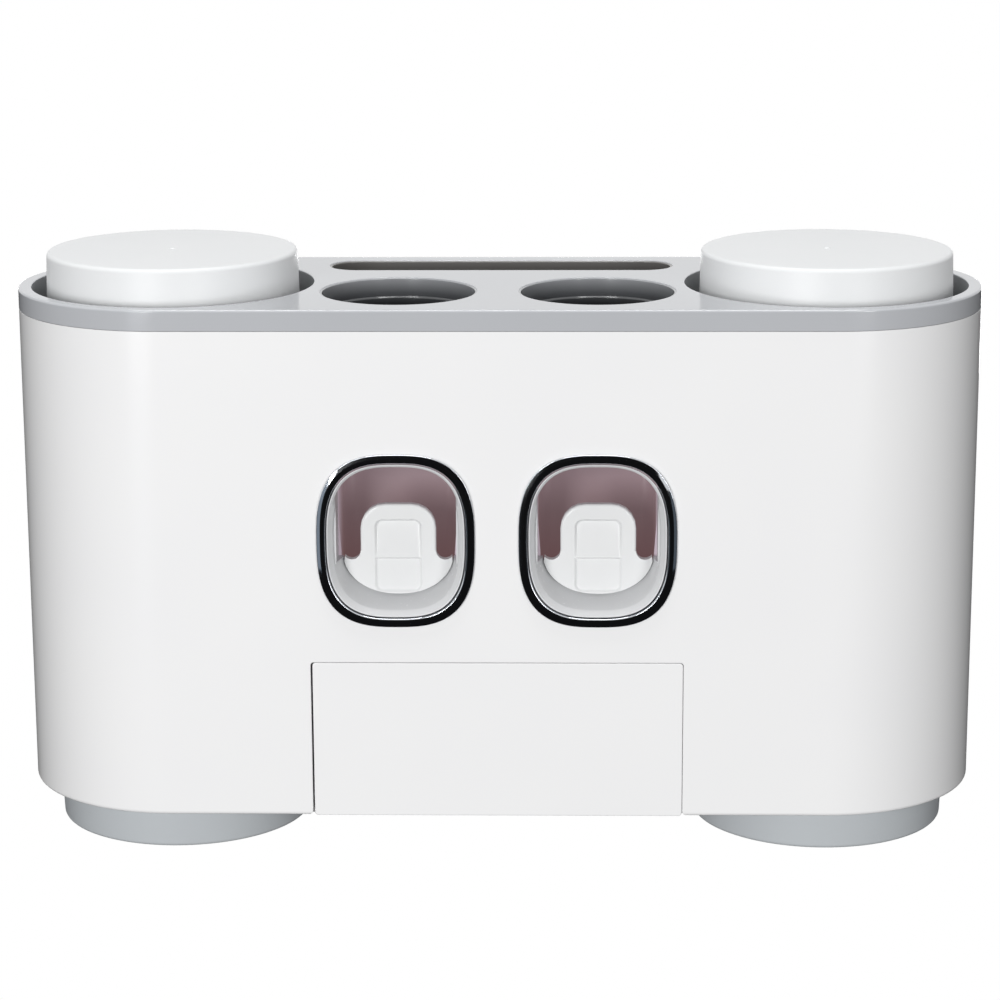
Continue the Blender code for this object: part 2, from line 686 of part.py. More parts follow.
def build_back_panel():
    """The flat back, with a pocket for the wall plate and a window for each hook."""
    bottom_z = FLOOR_TOP_Z + SEAT_GAP
    panel = box(
        "back_panel",
        (-PANEL_HALF_WIDTH, PANEL_FRONT_Y, bottom_z),
        (PANEL_HALF_WIDTH, BACK_Y, SHELL_TOP_Z),
        "white_abs",
    )
    half = PLATE_WIDTH / 2 + PLATE_PLAY
    low_z = PLATE_BOTTOM_Z - PLATE_PLAY - LIFT_TRAVEL
    high_z = PLATE_TOP_Z + PLATE_PLAY
    raised = box(
        "panel_raised",
        (-half - PANEL_THICKNESS, POCKET_FRONT_Y, low_z - PANEL_THICKNESS),
        (half + PANEL_THICKNESS, PANEL_FRONT_Y + PANEL_THICKNESS / 2, high_z + PANEL_THICKNESS),
        corner=PLATE_CORNER,
        corner_axis=1,
    )
    pocket = box(
        "panel_pocket",
        (-half, POCKET_Y, low_z),
        (half, BACK_Y + OVERRUN, high_z),
        corner=PLATE_CORNER,
        corner_axis=1,
    )
    join(panel, raised)
    cut(panel, pocket)
    for side, sign in SIDES:
        x0 = sign * HOOK_OFFSET
        hook_half = HOOK_WIDTH / 2 + PLATE_PLAY
        hook_window = box(
            f"panel_hook_window_{side}",
            (x0 - hook_half, POCKET_FRONT_Y - OVERRUN,
             HOOK_TOP_Z - HOOK_NECK - LIFT_TRAVEL - HOUSING_WALL_GAP),
            (x0 + hook_half, POCKET_Y + OVERRUN, HOOK_TOP_Z + SEAT_GAP),
        )
        cut(panel, hook_window)
    number = 1
    for edge_z in (TOP_Z, BOTTOM_Z):
        for place in screw_places(edge_z):
            cut(panel, screw_hole("panel_screw_hole", place, SCREW_LENGTH))
            seat_radius = SCREW_HEAD_RADIUS + SEAT_GAP
            seat_profile = (
                (0, OVERRUN),
                (seat_radius, OVERRUN),
                (seat_radius, -SCREW_HEAD_RIM),
                (SCREW_RADIUS + SEAT_GAP, -SCREW_HEAD_HEIGHT - SEAT_GAP / 2),
                (0, -SCREW_HEAD_HEIGHT - SEAT_GAP / 2),
            )
            seat = turned("panel_screw_seat", seat_profile, place, None, SMALL_STEPS, FACE_FRONT)
            cut(panel, seat)
            build_screw(f"back_screw_{number}", place, SCREW_LENGTH)
            number += 1


def build_top_deck():
    """The grey deck with its rim band, holes and two bosses for the back screws."""
    rings = []
    edge = DECK_EDGE_ROUND
    outline = (
        (0, TOP_Z - BAND_HEIGHT),
        (0, TOP_Z - edge),
        (edge / 4, TOP_Z - edge / 4),
        (edge, TOP_Z),
    )
    for inset, z in outline:
        rings.append(stadium(HOUSING_END_RADIUS - inset, HOUSING_END_OFFSET, MID_Y, z))
    deck = loft("top_deck", rings, "grey_abs")
    hollow_radius = HOUSING_END_RADIUS - HOUSING_WALL
    hollow = loft("deck_hollow", [
        stadium(hollow_radius, HOUSING_END_OFFSET, MID_Y, TOP_Z - BAND_HEIGHT - OVERRUN),
        stadium(hollow_radius, HOUSING_END_OFFSET, MID_Y, TOP_Z - DECK_THICKNESS),
    ])
    cut(deck, hollow)
    high_z = TOP_Z + OVERRUN
    low_z = TOP_Z - DECK_THICKNESS - OVERRUN
    for side, sign in SIDES:
        for label, x, y, radius, steps in (
            ("well", sign * HOUSING_END_OFFSET, MID_Y, WELL_OPENING_RADIUS, WELL_STEPS),
            ("tube", sign * SQUEEZER_OFFSET, TUBE_HOLE_Y, TUBE_HOLE_RADIUS, TUBE_STEPS),
        ):
            hole = rod(f"deck_{label}_hole_{side}", (x, y, low_z), (x, y, high_z), radius,
                       steps=steps)
            cut(deck, hole)
        boss = box(
            f"deck_boss_{side}",
            (sign * BOSS_OFFSET - BOSS_WIDTH / 2, PANEL_FRONT_Y - SEAT_GAP - BOSS_DEPTH,
             TOP_Z - DECK_THICKNESS / 2 - DECK_BOSS_LENGTH),
            (sign * BOSS_OFFSET + BOSS_WIDTH / 2, PANEL_FRONT_Y - SEAT_GAP,
             TOP_Z - DECK_THICKNESS / 2),
        )
        join(deck, boss)
    straight = SLOT_HALF_LENGTH - SLOT_HALF_WIDTH
    slot = loft("deck_slot", [
        stadium(SLOT_HALF_WIDTH, straight, SLOT_CENTRE_Y, low_z),
        stadium(SLOT_HALF_WIDTH, straight, SLOT_CENTRE_Y, high_z),
    ])
    cut(deck, slot)
    for place in screw_places(TOP_Z):
        cut(deck, screw_hole("deck_screw_hole", place, SCREW_LENGTH))


def build_cup_well(side, sign):
    """A tapered well with a ledge for the tumbler's rim and a foot below the housing."""
    foot_inner = WELL_FOOT_RADIUS - WELL_WALL
    neck_outer = WELL_FOOT_RADIUS + WELL_FOOT_DRAFT
    neck_inner = neck_outer - WELL_WALL
    barrel_inner = TUMBLER_RIM_RADIUS + WELL_RIM_PLAY
    barrel_outer = barrel_inner + WELL_WALL
    collar_z = FLOOR_TOP_Z + SEAT_GAP
    collar_outer = neck_outer + WELL_COLLAR_WIDTH
    round_off = WELL_FOOT_ROUND
    profile = (
        (0, WELL_FOOT_Z + WELL_WALL),
        (foot_inner, WELL_FOOT_Z + WELL_WALL),
        (neck_inner, LEDGE_Z),
        (barrel_inner, LEDGE_Z),
        (WELL_OPENING_RADIUS, DECK_UNDER_Z),
        (WELL_OPENING_RADIUS + WELL_WALL, DECK_UNDER_Z),
        (barrel_outer, LEDGE_Z - WELL_WALL),
        (neck_outer, LEDGE_Z - WELL_WALL),
        (neck_outer, collar_z + WELL_COLLAR_HEIGHT),
        (collar_outer, collar_z + WELL_COLLAR_HEIGHT),
        (collar_outer, collar_z),
        (neck_outer, collar_z),
        (WELL_FOOT_RADIUS, WELL_FOOT_Z + round_off),
        (WELL_FOOT_RADIUS - round_off, WELL_FOOT_Z),
        (0, WELL_FOOT_Z),
    )
    x0 = sign * HOUSING_END_OFFSET
    well = turned(f"cup_well_{side}", profile, (x0, MID_Y, 0), "grey_pp", WELL_STEPS)
    for i in range(WELL_DRAIN_COUNT):
        angle = 2 * math.pi * i / WELL_DRAIN_COUNT
        x = x0 + WELL_DRAIN_RING * math.cos(angle)
        y = MID_Y + WELL_DRAIN_RING * math.sin(angle)
        drain = rod(f"well_drain_{side}_{i}", (x, y, WELL_FOOT_Z - OVERRUN),
                    (x, y, WELL_FOOT_Z + WELL_WALL + OVERRUN), WELL_DRAIN_RADIUS, steps=DRAIN_STEPS)
        cut(well, drain)


def build_tumbler(side, sign):
    """A white tumbler that stands upside down on the ledge of its well."""
    top = TOP_Z + TUMBLER_PROUD
    edge = TUMBLER_EDGE_ROUND
    base = TUMBLER_BASE_RADIUS
    profile = [(0, top + TUMBLER_NUB_HEIGHT), (TUMBLER_NUB_RADIUS, top)]
    profile += arc((base - edge, top - edge), edge, 90, 0, 4)
    profile += [
        (TUMBLER_RIM_RADIUS, RIM_Z),
        (TUMBLER_RIM_RADIUS - TUMBLER_WALL, RIM_Z),
    ]
    inner = base - TUMBLER_WALL
    inner_edge = edge - TUMBLER_WALL / 2
    inner_top = top - TUMBLER_BASE
    profile += arc((inner - inner_edge, inner_top - inner_edge), inner_edge, 0, 90, 2)
    profile.append((0, inner_top))
    x0 = sign * HOUSING_END_OFFSET
    tumbler = turned(f"tumbler_{side}", profile, (x0, MID_Y, 0), "white_pp", TUMBLER_STEPS)
    hang(joint_axis(f"tumbler_{side}_axis", (x0, MID_Y, RIM_Z)), tumbler)


def build_tube_well(side, sign):
    """The stepped funnel that a paste tube stands in, mouth down."""
    top = DECK_UNDER_Z
    step_z = TOP_Z - TUBE_STEP_DEPTH
    barrel_z = TOP_Z - TUBE_BARREL_DEPTH
    funnel_z = TOP_Z - TUBE_FUNNEL_DEPTH
    neck_z = funnel_z - TUBE_NECK_LENGTH
    inner = TUBE_HOLE_RADIUS
    barrel = inner - TUBE_STEP_WIDTH
    wall = TUBE_WALL
    flange = TUBE_FLANGE_THICKNESS
    profile = (
        (TUBE_NECK_RADIUS, neck_z),
        (TUBE_NECK_RADIUS, funnel_z),
        (barrel, barrel_z),
        (barrel, step_z - wall / 2),
        (inner - TUBE_STEP_WIDTH / 2, step_z - wall / 8),
        (inner, step_z + wall / 2),
        (inner, top),
        (inner + TUBE_FLANGE_WIDTH, top),
        (inner + TUBE_FLANGE_WIDTH, top - flange),
        (inner + wall, top - flange),
        (inner + wall, step_z - wall),
        (barrel + wall, barrel_z - wall / 2),
        (TUBE_NECK_RADIUS + wall, funnel_z - wall / 2),
        (TUBE_NECK_RADIUS + wall, neck_z),
    )
    x0 = sign * SQUEEZER_OFFSET
    turned(f"tube_well_{side}", profile, (x0, TUBE_HOLE_Y, 0), "grey_abs", TUBE_STEPS,
           closed=True)


def build_brush_pocket():
    """The long pocket behind the tubes that brushes and combs stand in."""
    straight = SLOT_HALF_LENGTH - SLOT_HALF_WIDTH
    top = DECK_UNDER_Z
    floor = TOP_Z - SLOT_DEPTH
    wall = SLOT_WALL
    rings = []
    for radius, z in (
        (SLOT_HALF_WIDTH - SLOT_DRAFT + wall, floor - SLOT_FLOOR),
        (SLOT_HALF_WIDTH + wall, top - SLOT_FLANGE_THICKNESS),
        (SLOT_HALF_WIDTH + SLOT_FLANGE_WIDTH, top - SLOT_FLANGE_THICKNESS),
        (SLOT_HALF_WIDTH + SLOT_FLANGE_WIDTH, top),
        (SLOT_HALF_WIDTH, top),
        (SLOT_HALF_WIDTH - SLOT_DRAFT, floor),
    ):
        rings.append(stadium(radius, straight, SLOT_CENTRE_Y, z))
    pocket = loft("brush_pocket", rings, "grey_abs")
    for i in (-1, 0, 1):
        drain = rod(f"pocket_drain_{i + 1}",
                    (i * SLOT_DRAIN_PITCH, SLOT_CENTRE_Y, floor - SLOT_FLOOR - OVERRUN),
                    (i * SLOT_DRAIN_PITCH, SLOT_CENTRE_Y, floor + OVERRUN),
                    SLOT_DRAIN_RADIUS, steps=DRAIN_STEPS)
        cut(pocket, drain)


def build_chrome_ring(side, sign):
    """The plated trim ring round a squeezer window, with a neck that enters the housing."""
    front = FRONT_Y - RING_PROUD
    seat = FRONT_Y - SEAT_GAP
    neck = RING_BAND - RING_NECK_WALL
    section = (
        (0, seat),
        (0, front + RING_ROUND),
        (RING_ROUND, front),
        (RING_BAND - RING_ROUND, front),
        (RING_BAND, front + RING_ROUND),
        (RING_BAND, SHELL_FRONT_INNER_Y),
        (neck, SHELL_FRONT_INNER_Y),
        (neck, seat),
    )
    x0 = sign * SQUEEZER_OFFSET
    rings = []
    for inset, y in section:
        rings += window_rings(x0, inset, (y,))
    loft(f"chrome_ring_{side}", rings, "chrome", closed=True)


def build_window_bezel(side, sign):
    """The white bowl in a window: a flared mouth, a dish below and an opening behind."""
    x0 = sign * SQUEEZER_OFFSET
    throat = BEZEL_INSET + BEZEL_FLARE
    waist = throat + BEZEL_WALL / 4
    throat_y = BEZEL_LIP_Y + BEZEL_FLARE_DEPTH
    back_y = BEZEL_BACK_Y + BEZEL_WALL
    dish_y = BEZEL_BACK_Y - BEZEL_DISH_RISE
    flange_y = SHELL_FRONT_INNER_Y + SEAT_GAP
    flange_back_y = flange_y + BEZEL_FLANGE_THICKNESS
    hole_half = LEVER_SKIRT_HALF_WIDTH + LEVER_PLAY
    hole_down = LEVER_SKIRT_HALF_HEIGHT + LEVER_PLAY
    hole_up = RING_HALF_HEIGHT - waist - LEVER_SKIRT_CENTRE - SEAT_GAP

    def hole_ring(y):
        return oval(hole_half, hole_up, hole_down, LEVER_SKIRT_CENTRE, LEVER_SKIRT_POWER, x0, y)

    rings = window_rings(x0, BEZEL_INSET + BEZEL_WALL / 3, (BEZEL_LIP_Y,))
    rings += window_rings(x0, BEZEL_INSET + BEZEL_FLARE / 2, (BEZEL_LIP_Y + BEZEL_FLARE / 2,))
    rings += window_rings(x0, throat, (throat_y,))
    rings += window_rings(x0, waist, (dish_y,))
    rings += [hole_ring(BEZEL_BACK_Y), hole_ring(back_y)]
    rings += window_rings(x0, waist - BEZEL_WALL, (back_y, dish_y))
    rings += window_rings(x0, throat - BEZEL_WALL, (flange_back_y,))
    rings += window_rings(x0, BEZEL_INSET - BEZEL_FLANGE_WIDTH, (flange_back_y, flange_y))
    rings += window_rings(x0, BEZEL_INSET, (flange_y, BEZEL_LIP_Y + BEZEL_WALL / 3))
    bezel = loft(f"window_bezel_{side}", rings, "white_abs", closed=True)

    view_half = RING_HALF_WIDTH - waist - SEAT_GAP
    view_up = RING_HALF_HEIGHT - waist - SEAT_GAP
    view = loft(f"bezel_view_{side}", [
        oval(view_half, view_up, -LEVER_PAD_STEP, 0, WINDOW_POWER, x0, y)
        for y in (dish_y, back_y + OVERRUN)
    ])
    cut(bezel, view)


def lever_outline():
    """The lever seen from the front: a round-shouldered tongue on a wider skirt.

    Points are (across, up) from the window's centre, counter-clockwise from the right notch.
    """
    half = LEVER_TONGUE_HALF_WIDTH
    corner = LEVER_TONGUE_CORNER
    top = LEVER_TONGUE_TOP
    notch = (LEVER_SKIRT_HALF_WIDTH - half) / 2
    notch_centre = half + notch
    points = []
    points += arc((notch_centre, LEVER_SKIRT_CENTRE), notch, -LEVER_HORN_DEGREES, -180, 5)
    points += arc((half - corner, top - corner), corner, 0, 90, 5)
    points += arc((corner - half, top - corner), corner, 90, 180, 5)
    points += arc((-notch_centre, LEVER_SKIRT_CENTRE), notch, 0, LEVER_HORN_DEGREES - 180, 5)
    steps = WINDOW_STEPS // 2
    for i in range(1, steps):
        angle = math.pi * (1 + i / steps)
        c, s = math.cos(angle), math.sin(angle)
        u = math.copysign(abs(c) ** (2 / LEVER_SKIRT_POWER), c) * LEVER_SKIRT_HALF_WIDTH
        drop = abs(s) ** (2 / LEVER_SKIRT_POWER) * LEVER_SKIRT_HALF_HEIGHT
        if drop > notch:
            points.append((u, LEVER_SKIRT_CENTRE - drop))
    return points


def plate_from_outline(name, outline, x0, front_y, back_y, edge, finish=None):
    """An upright plate from a front outline, its front edge rounded off by a chamfer."""
    bm = bmesh.new()
    verts = [bm.verts.new((x0 + u, back_y, WINDOW_Z + w)) for u, w in outline]
    face = bm.faces.new(verts)
    grown = bmesh.ops.extrude_face_region(bm, geom=[face])
    moved = [item for item in grown["geom"] if isinstance(item, bmesh.types.BMVert)]
    bmesh.ops.translate(bm, vec=(0, front_y - back_y, 0), verts=moved)
    bmesh.ops.recalc_face_normals(bm, faces=bm.faces)
    if edge:
        rim = [e for e in bm.edges if all(abs(v.co.y - front_y) < edge / 10 for v in e.verts)]
        bmesh.ops.bevel(bm, geom=rim, offset=edge, segments=2, profile=0.5, affect="EDGES")
    return to_object(name, bm, finish)


def rounded_outline(half_width, bottom, top, corner):
    """A rounded rectangle as (across, up) points."""
    points = []
    points += arc((half_width - corner, bottom + corner), corner, -90, 0)
    points += arc((half_width - corner, top - corner), corner, 0, 90)
    points += arc((corner - half_width, top - corner), corner, 90, 180)
    points += arc((corner - half_width, bottom + corner), corner, 180, 270)
    return points


def build_push_lever(side, sign):
    """The white lever that a brush pushes back: tongue, thumb scoop, skirt and hinge knuckle."""
    x0 = sign * SQUEEZER_OFFSET
    lever = plate_from_outline(f"push_lever_{side}", lever_outline(), x0, LEVER_FRONT_Y,
                               LEVER_BACK_Y, LEVER_ROUND, "white_abs")
    pad = plate_from_outline(
        f"lever_pad_{side}",
        rounded_outline(LEVER_PAD_HALF_WIDTH, LEVER_PAD_BOTTOM, LEVER_PAD_TOP,
                        LEVER_PAD_CORNER),
        x0, LEVER_FRONT_Y - OVERRUN, LEVER_FRONT_Y + LEVER_PAD_DEPTH, 0)
    cut(lever, pad)
    chord = LEVER_PAD_TOP - LEVER_PAD_STEP - LEVER_ROUND
    sag = LEVER_SCOOP_DEPTH + LEVER_PAD_DEPTH
    scoop_radius = chord * chord / (8 * sag) + sag / 2
    scoop_z = WINDOW_Z + (LEVER_PAD_TOP + LEVER_PAD_STEP) / 2
    scoop_y = LEVER_FRONT_Y + sag - scoop_radius
    scoop_half = LEVER_PAD_HALF_WIDTH - LEVER_ROUND / 2
    scoop = rod(f"lever_scoop_{side}", (x0 - scoop_half, scoop_y, scoop_z),
                (x0 + scoop_half, scoop_y, scoop_z), scoop_radius, steps=SCOOP_STEPS)
    cut(lever, scoop)

    knuckle = rod(
        f"lever_knuckle_{side}",
        (x0 - LEVER_KNUCKLE_HALF_WIDTH, PIVOT_Y, PIVOT_Z),
        (x0 + LEVER_KNUCKLE_HALF_WIDTH, PIVOT_Y, PIVOT_Z),
        LEVER_KNUCKLE_RADIUS,
    )
    join(lever, knuckle)
    push = rod(
        f"lever_push_{side}",
        (x0 - LEVER_PUSH_HALF_WIDTH, PUSH_Y, PUMP_Z),
        (x0 + LEVER_PUSH_HALF_WIDTH, PUSH_Y, PUMP_Z),
        LEVER_PUSH_RADIUS,
    )
    join(lever, push)
    bore = rod(
        f"lever_bore_{side}",
        (x0 - LEVER_KNUCKLE_HALF_WIDTH - OVERRUN, PIVOT_Y, PIVOT_Z),
        (x0 + LEVER_KNUCKLE_HALF_WIDTH + OVERRUN, PIVOT_Y, PIVOT_Z),
        LEVER_PIN_RADIUS + SEAT_GAP,
    )
    cut(lever, bore)
    hang(joint_axis(f"push_lever_{side}_axis", (x0, PIVOT_Y, PIVOT_Z)), lever)

    pin_half = CHAMBER_HALF_WIDTH + CHAMBER_WALL - SEAT_GAP
    rod(f"lever_pin_{side}", (x0 - pin_half, PIVOT_Y, PIVOT_Z), (x0 + pin_half, PIVOT_Y, PIVOT_Z),
        LEVER_PIN_RADIUS, "steel")


def build_chamber(side, sign):
    """The box behind a window, which carries the lever's pin, the pump and the nozzle."""
    x0 = sign * SQUEEZER_OFFSET
    outer_half = CHAMBER_HALF_WIDTH + CHAMBER_WALL
    floor_z = WINDOW_Z + CHAMBER_BOTTOM
    roof_z = WINDOW_Z + CHAMBER_TOP
    back_y = CHAMBER_BACK_Y + CHAMBER_WALL
    chamber = box(
        f"dispenser_chamber_{side}",
        (x0 - outer_half, CHAMBER_FRONT_Y, floor_z - CHAMBER_WALL),
        (x0 + outer_half, back_y, CHAMBER_ROOF_Z),
        "smoke_pc",
    )
    hole_radius = SCREW_RADIUS + SEAT_GAP
    for u, z in chamber_tab_places(sign):
        tab_end = z + math.copysign(CHAMBER_TAB_HALF_WIDTH, z - WINDOW_Z)
        tab_root = roof_z if z > WINDOW_Z else floor_z
        tab = box(
            f"chamber_tab_{side}",
            (u - CHAMBER_TAB_HALF_WIDTH, CHAMBER_FRONT_Y, min(tab_end, tab_root)),
            (u + CHAMBER_TAB_HALF_WIDTH, CHAMBER_FRONT_Y + CHAMBER_TAB_THICKNESS,
             max(tab_end, tab_root)),
        )
        join(chamber, tab)
    duct = box(
        f"chamber_duct_{side}",
        (x0 - CHAMBER_DUCT_HALF_WIDTH, CHAMBER_BACK_Y + CHAMBER_WALL / 2,
         PUMP_Z - CHAMBER_DUCT_HALF_WIDTH),
        (x0 + CHAMBER_DUCT_HALF_WIDTH, back_y + CHAMBER_DUCT_DEPTH, roof_z),
    )
    join(chamber, duct)
    inside = box(
        f"chamber_inside_{side}",
        (x0 - CHAMBER_HALF_WIDTH, CHAMBER_FRONT_Y + CHAMBER_LIP, floor_z),
        (x0 + CHAMBER_HALF_WIDTH, CHAMBER_BACK_Y, roof_z),
        corner=CHAMBER_WALL,
    )
    cut(chamber, inside)
    mouth = box(
        f"chamber_mouth_{side}",
        (x0 - CHAMBER_LIP_HALF_WIDTH, CHAMBER_FRONT_Y - OVERRUN, floor_z),
        (x0 + CHAMBER_LIP_HALF_WIDTH, CHAMBER_FRONT_Y + CHAMBER_LIP + CHAMBER_WALL, roof_z),
    )
    cut(chamber, mouth)
    pin_hole = rod(
        f"chamber_pin_hole_{side}",
        (x0 - outer_half - OVERRUN, PIVOT_Y, PIVOT_Z),
        (x0 + outer_half + OVERRUN, PIVOT_Y, PIVOT_Z),
        LEVER_PIN_RADIUS + SEAT_GAP,
    )
    cut(chamber, pin_hole)
    nozzle_y = (CHAMBER_FRONT_Y + CHAMBER_BACK_Y) / 2
    roof_hole = rod(
        f"chamber_roof_hole_{side}",
        (x0, nozzle_y, roof_z - OVERRUN),
        (x0, nozzle_y, CHAMBER_ROOF_Z + OVERRUN),
        NOZZLE_TIP_RADIUS + SEAT_GAP,
    )
    cut(chamber, roof_hole)
    head_y = CHAMBER_FRONT_Y + CHAMBER_TAB_THICKNESS + SCREW_HEAD_HEIGHT + SEAT_GAP
    for label, (u, z) in zip(("upper", "lower"), chamber_tab_places(sign)):
        hole = rod(
            f"chamber_tab_hole_{side}",
            (u, CHAMBER_FRONT_Y - OVERRUN, z),
            (u, CHAMBER_FRONT_Y + CHAMBER_TAB_THICKNESS + OVERRUN, z),
            hole_radius,
        )
        cut(chamber, hole)
        build_screw(f"chamber_screw_{side}_{label}", (u, head_y, z), SCREW_LENGTH)


def build_pump(side, sign):
    """Plunger, bellows and spring behind a lever, with the socket and nozzle above them."""
    x0 = sign * SQUEEZER_OFFSET
    plunger_profile = (
        (0, PLUNGER_THICKNESS + PLUNGER_STEM_LENGTH),
        (PLUNGER_STEM_RADIUS, PLUNGER_THICKNESS + PLUNGER_STEM_LENGTH),
        (PLUNGER_STEM_RADIUS, PLUNGER_THICKNESS),
        (PLUNGER_RADIUS, PLUNGER_THICKNESS),
        (PLUNGER_RADIUS, 0),
        (0, 0),
    )
    plunger = turned(f"pump_plunger_{side}", plunger_profile, (x0, PLUNGER_FRONT_Y, PUMP_Z),
                     "white_abs", PUMP_STEPS, FACE_FRONT)
    hang(joint_axis(f"pump_plunger_{side}_axis", (x0, PLUNGER_FRONT_Y, PUMP_Z)), plunger)

    front_y = PLUNGER_BACK_Y + SEAT_GAP
    back_y = CHAMBER_BACK_Y - SEAT_GAP
    length = back_y - front_y
    pitch = length / (2 * BELLOWS_RIBS)
    outside = []
    for i in range(2 * BELLOWS_RIBS + 1):
        radius = BELLOWS_NECK_RADIUS if i % 2 == 0 else BELLOWS_RADIUS
        outside.append((radius, length - i * pitch))
    inside = [(radius - BELLOWS_WALL, height) for radius, height in reversed(outside)]
    turned(f"pump_bellows_{side}", outside + inside, (x0, front_y, PUMP_Z), "silicone",
           PUMP_STEPS, FACE_FRONT, closed=True)

    build_spring(f"return_spring_{side}", x0, front_y, back_y)

    outer = TUBE_NECK_RADIUS - SEAT_GAP
    bore = outer - SOCKET_WALL
    base_z = CHAMBER_ROOF_Z + SEAT_GAP
    socket = ((bore, base_z), (bore, base_z + SOCKET_HEIGHT), (outer, base_z + SOCKET_HEIGHT),
              (outer, base_z))
    turned(f"tube_socket_{side}", socket, (x0, TUBE_HOLE_Y, 0), "silicone", PUMP_STEPS,
           closed=True)

    roof_z = WINDOW_Z + CHAMBER_TOP - SEAT_GAP
    tip_z = roof_z - NOZZLE_HEAD_HEIGHT - NOZZLE_LENGTH
    nozzle = (
        (NOZZLE_BORE, tip_z),
        (NOZZLE_BORE, CHAMBER_ROOF_Z),
        (NOZZLE_TIP_RADIUS, CHAMBER_ROOF_Z),
        (NOZZLE_TIP_RADIUS, roof_z),
        (NOZZLE_HEAD_RADIUS, roof_z),
        (NOZZLE_HEAD_RADIUS, roof_z - NOZZLE_HEAD_HEIGHT),
        (NOZZLE_RADIUS, roof_z - NOZZLE_HEAD_HEIGHT),
        (NOZZLE_TIP_RADIUS, tip_z),
    )
    nozzle_y = (CHAMBER_FRONT_Y + CHAMBER_BACK_Y) / 2
    turned(f"paste_nozzle_{side}", nozzle, (x0, nozzle_y, 0), "silicone", PUMP_STEPS,
           closed=True)


def build_spring(name, x0, front_y, back_y):
    """A round-wire compression spring along Y between the plunger and the chamber's back."""
    start = front_y + SPRING_WIRE
    travel = back_y - SPRING_WIRE - start
    count = SPRING_TURNS * SPRING_POINTS
    curve = bpy.data.curves.new(name, "CURVE")
    curve.dimensions = "3D"
    curve.bevel_depth = SPRING_WIRE
    curve.bevel_resolution = 1
    curve.use_fill_caps = True
    spline = curve.splines.new("POLY")
    spline.points.add(count)
    for i, point in enumerate(spline.points):
        angle = 2 * math.pi * i / SPRING_POINTS
        y = start + travel * i / count
        x = x0 + SPRING_RADIUS * math.cos(angle)
        z = PUMP_Z + SPRING_RADIUS * math.sin(angle)
        point.co = (x, y, z, 1)
    curve.materials.append(finish_material("steel"))
    spring = bpy.data.objects.new(name, curve)
    bpy.data.collections["toothbrush_holder"].objects.link(spring)
    print(f"{name}: least gap between turns {travel / SPRING_TURNS - 2 * SPRING_WIRE:.5f} m")


def build_drawer():
    """The flush drawer: its front, its tray and the two runners that it slides on."""
    half = DRAWER_HALF_WIDTH
    shift = DRAWER_SHIFT
    front = box(
        "drawer_front",
        (shift - half, FRONT_Y, BOTTOM_Z),
        (shift + half, DRAWER_BACK_Y, DRAWER_TOP_Z),
        "white_abs",
        corner=DRAWER_CORNER,
        corner_axis=1,
    )
    tray_front_y = DRAWER_BACK_Y + SEAT_GAP
    tray = box(
        "drawer_tray",
        (shift - TRAY_HALF_WIDTH, tray_front_y, TRAY_UNDER_Z),
        (shift + TRAY_HALF_WIDTH, TRAY_BACK_Y, TRAY_TOP_Z),
        "white_pp",
        corner=TRAY_CORNER,
    )
    inner_half = TRAY_HALF_WIDTH - TRAY_WALL
    inside = box(
        "tray_inside",
        (shift - inner_half, tray_front_y + TRAY_WALL, TRAY_UNDER_Z + TRAY_WALL),
        (shift + inner_half, TRAY_BACK_Y - TRAY_WALL, TRAY_TOP_Z + OVERRUN),
        corner=TRAY_CORNER - TRAY_WALL / 2,
    )
    cut(tray, inside)
    hang(joint_axis("drawer_axis", (0, DRAWER_BACK_Y, TRAY_UNDER_Z)), front, tray)

    low_y = tray_front_y + RUNNER_END_SPACE
    high_y = TRAY_BACK_Y + RUNNER_END_SPACE
    for side, sign in SIDES:
        inner_x = TRAY_HALF_WIDTH + shift + SEAT_GAP
        outer_x = inner_x + RUNNER_WALL
        foot_x = TRAY_HALF_WIDTH - RUNNER_FOOT
        low_z = FLOOR_TOP_Z + SEAT_GAP
        foot_z = TRAY_UNDER_Z - SEAT_GAP
        across = sorted((sign * foot_x, sign * outer_x))
        runner = box(f"drawer_runner_{side}", (across[0], low_y, low_z),
                     (across[1], high_y, foot_z), "white_pp")
        across = sorted((sign * inner_x, sign * outer_x))
        wall = box(f"runner_wall_{side}", (across[0], low_y, (low_z + foot_z) / 2),
                   (across[1], high_y, low_z + RUNNER_HEIGHT))
        join(runner, wall)


def main():
    """Builds every piece of the holder."""
    clear_scene()
    new_collection("toothbrush_holder")
    new_collection("cutters")
    build_wall_plate()
    build_front_shell()
    build_back_panel()
    build_top_deck()
    build_brush_pocket()
    for side, sign in SIDES:
        build_cup_well(side, sign)
        build_tumbler(side, sign)
        build_tube_well(side, sign)
        build_chrome_ring(side, sign)
        build_window_bezel(side, sign)
        build_push_lever(side, sign)
        build_chamber(side, sign)
        build_pump(side, sign)
    build_drawer()
    carried = [piece for piece in bpy.data.collections["toothbrush_holder"].objects if piece.parent]
    housing = joint_axis("housing_lift_axis", (0, BACK_Y, 0))
    for piece in list(bpy.data.collections["toothbrush_holder"].objects):
        on_wall = piece.name in ("wall_plate", "adhesive_pad")
        if piece is not housing and not on_wall and piece not in carried:
            hang(housing, piece)


if __name__ == "__main__":
    main()
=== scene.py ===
"""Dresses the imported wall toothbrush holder: fine mouldings, finishes, studio and camera.

World frame in metres: X to the viewer's right, Y into the wall, Z up. Places come from the boxes
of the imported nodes; each sub-assembly holds its own wall thicknesses and edge rounds as fields.
"""

import json
import logging
import math
from collections.abc import Sequence
from dataclasses import dataclass
from enum import Enum

import bmesh
import bpy
from mathutils import Matrix, Vector

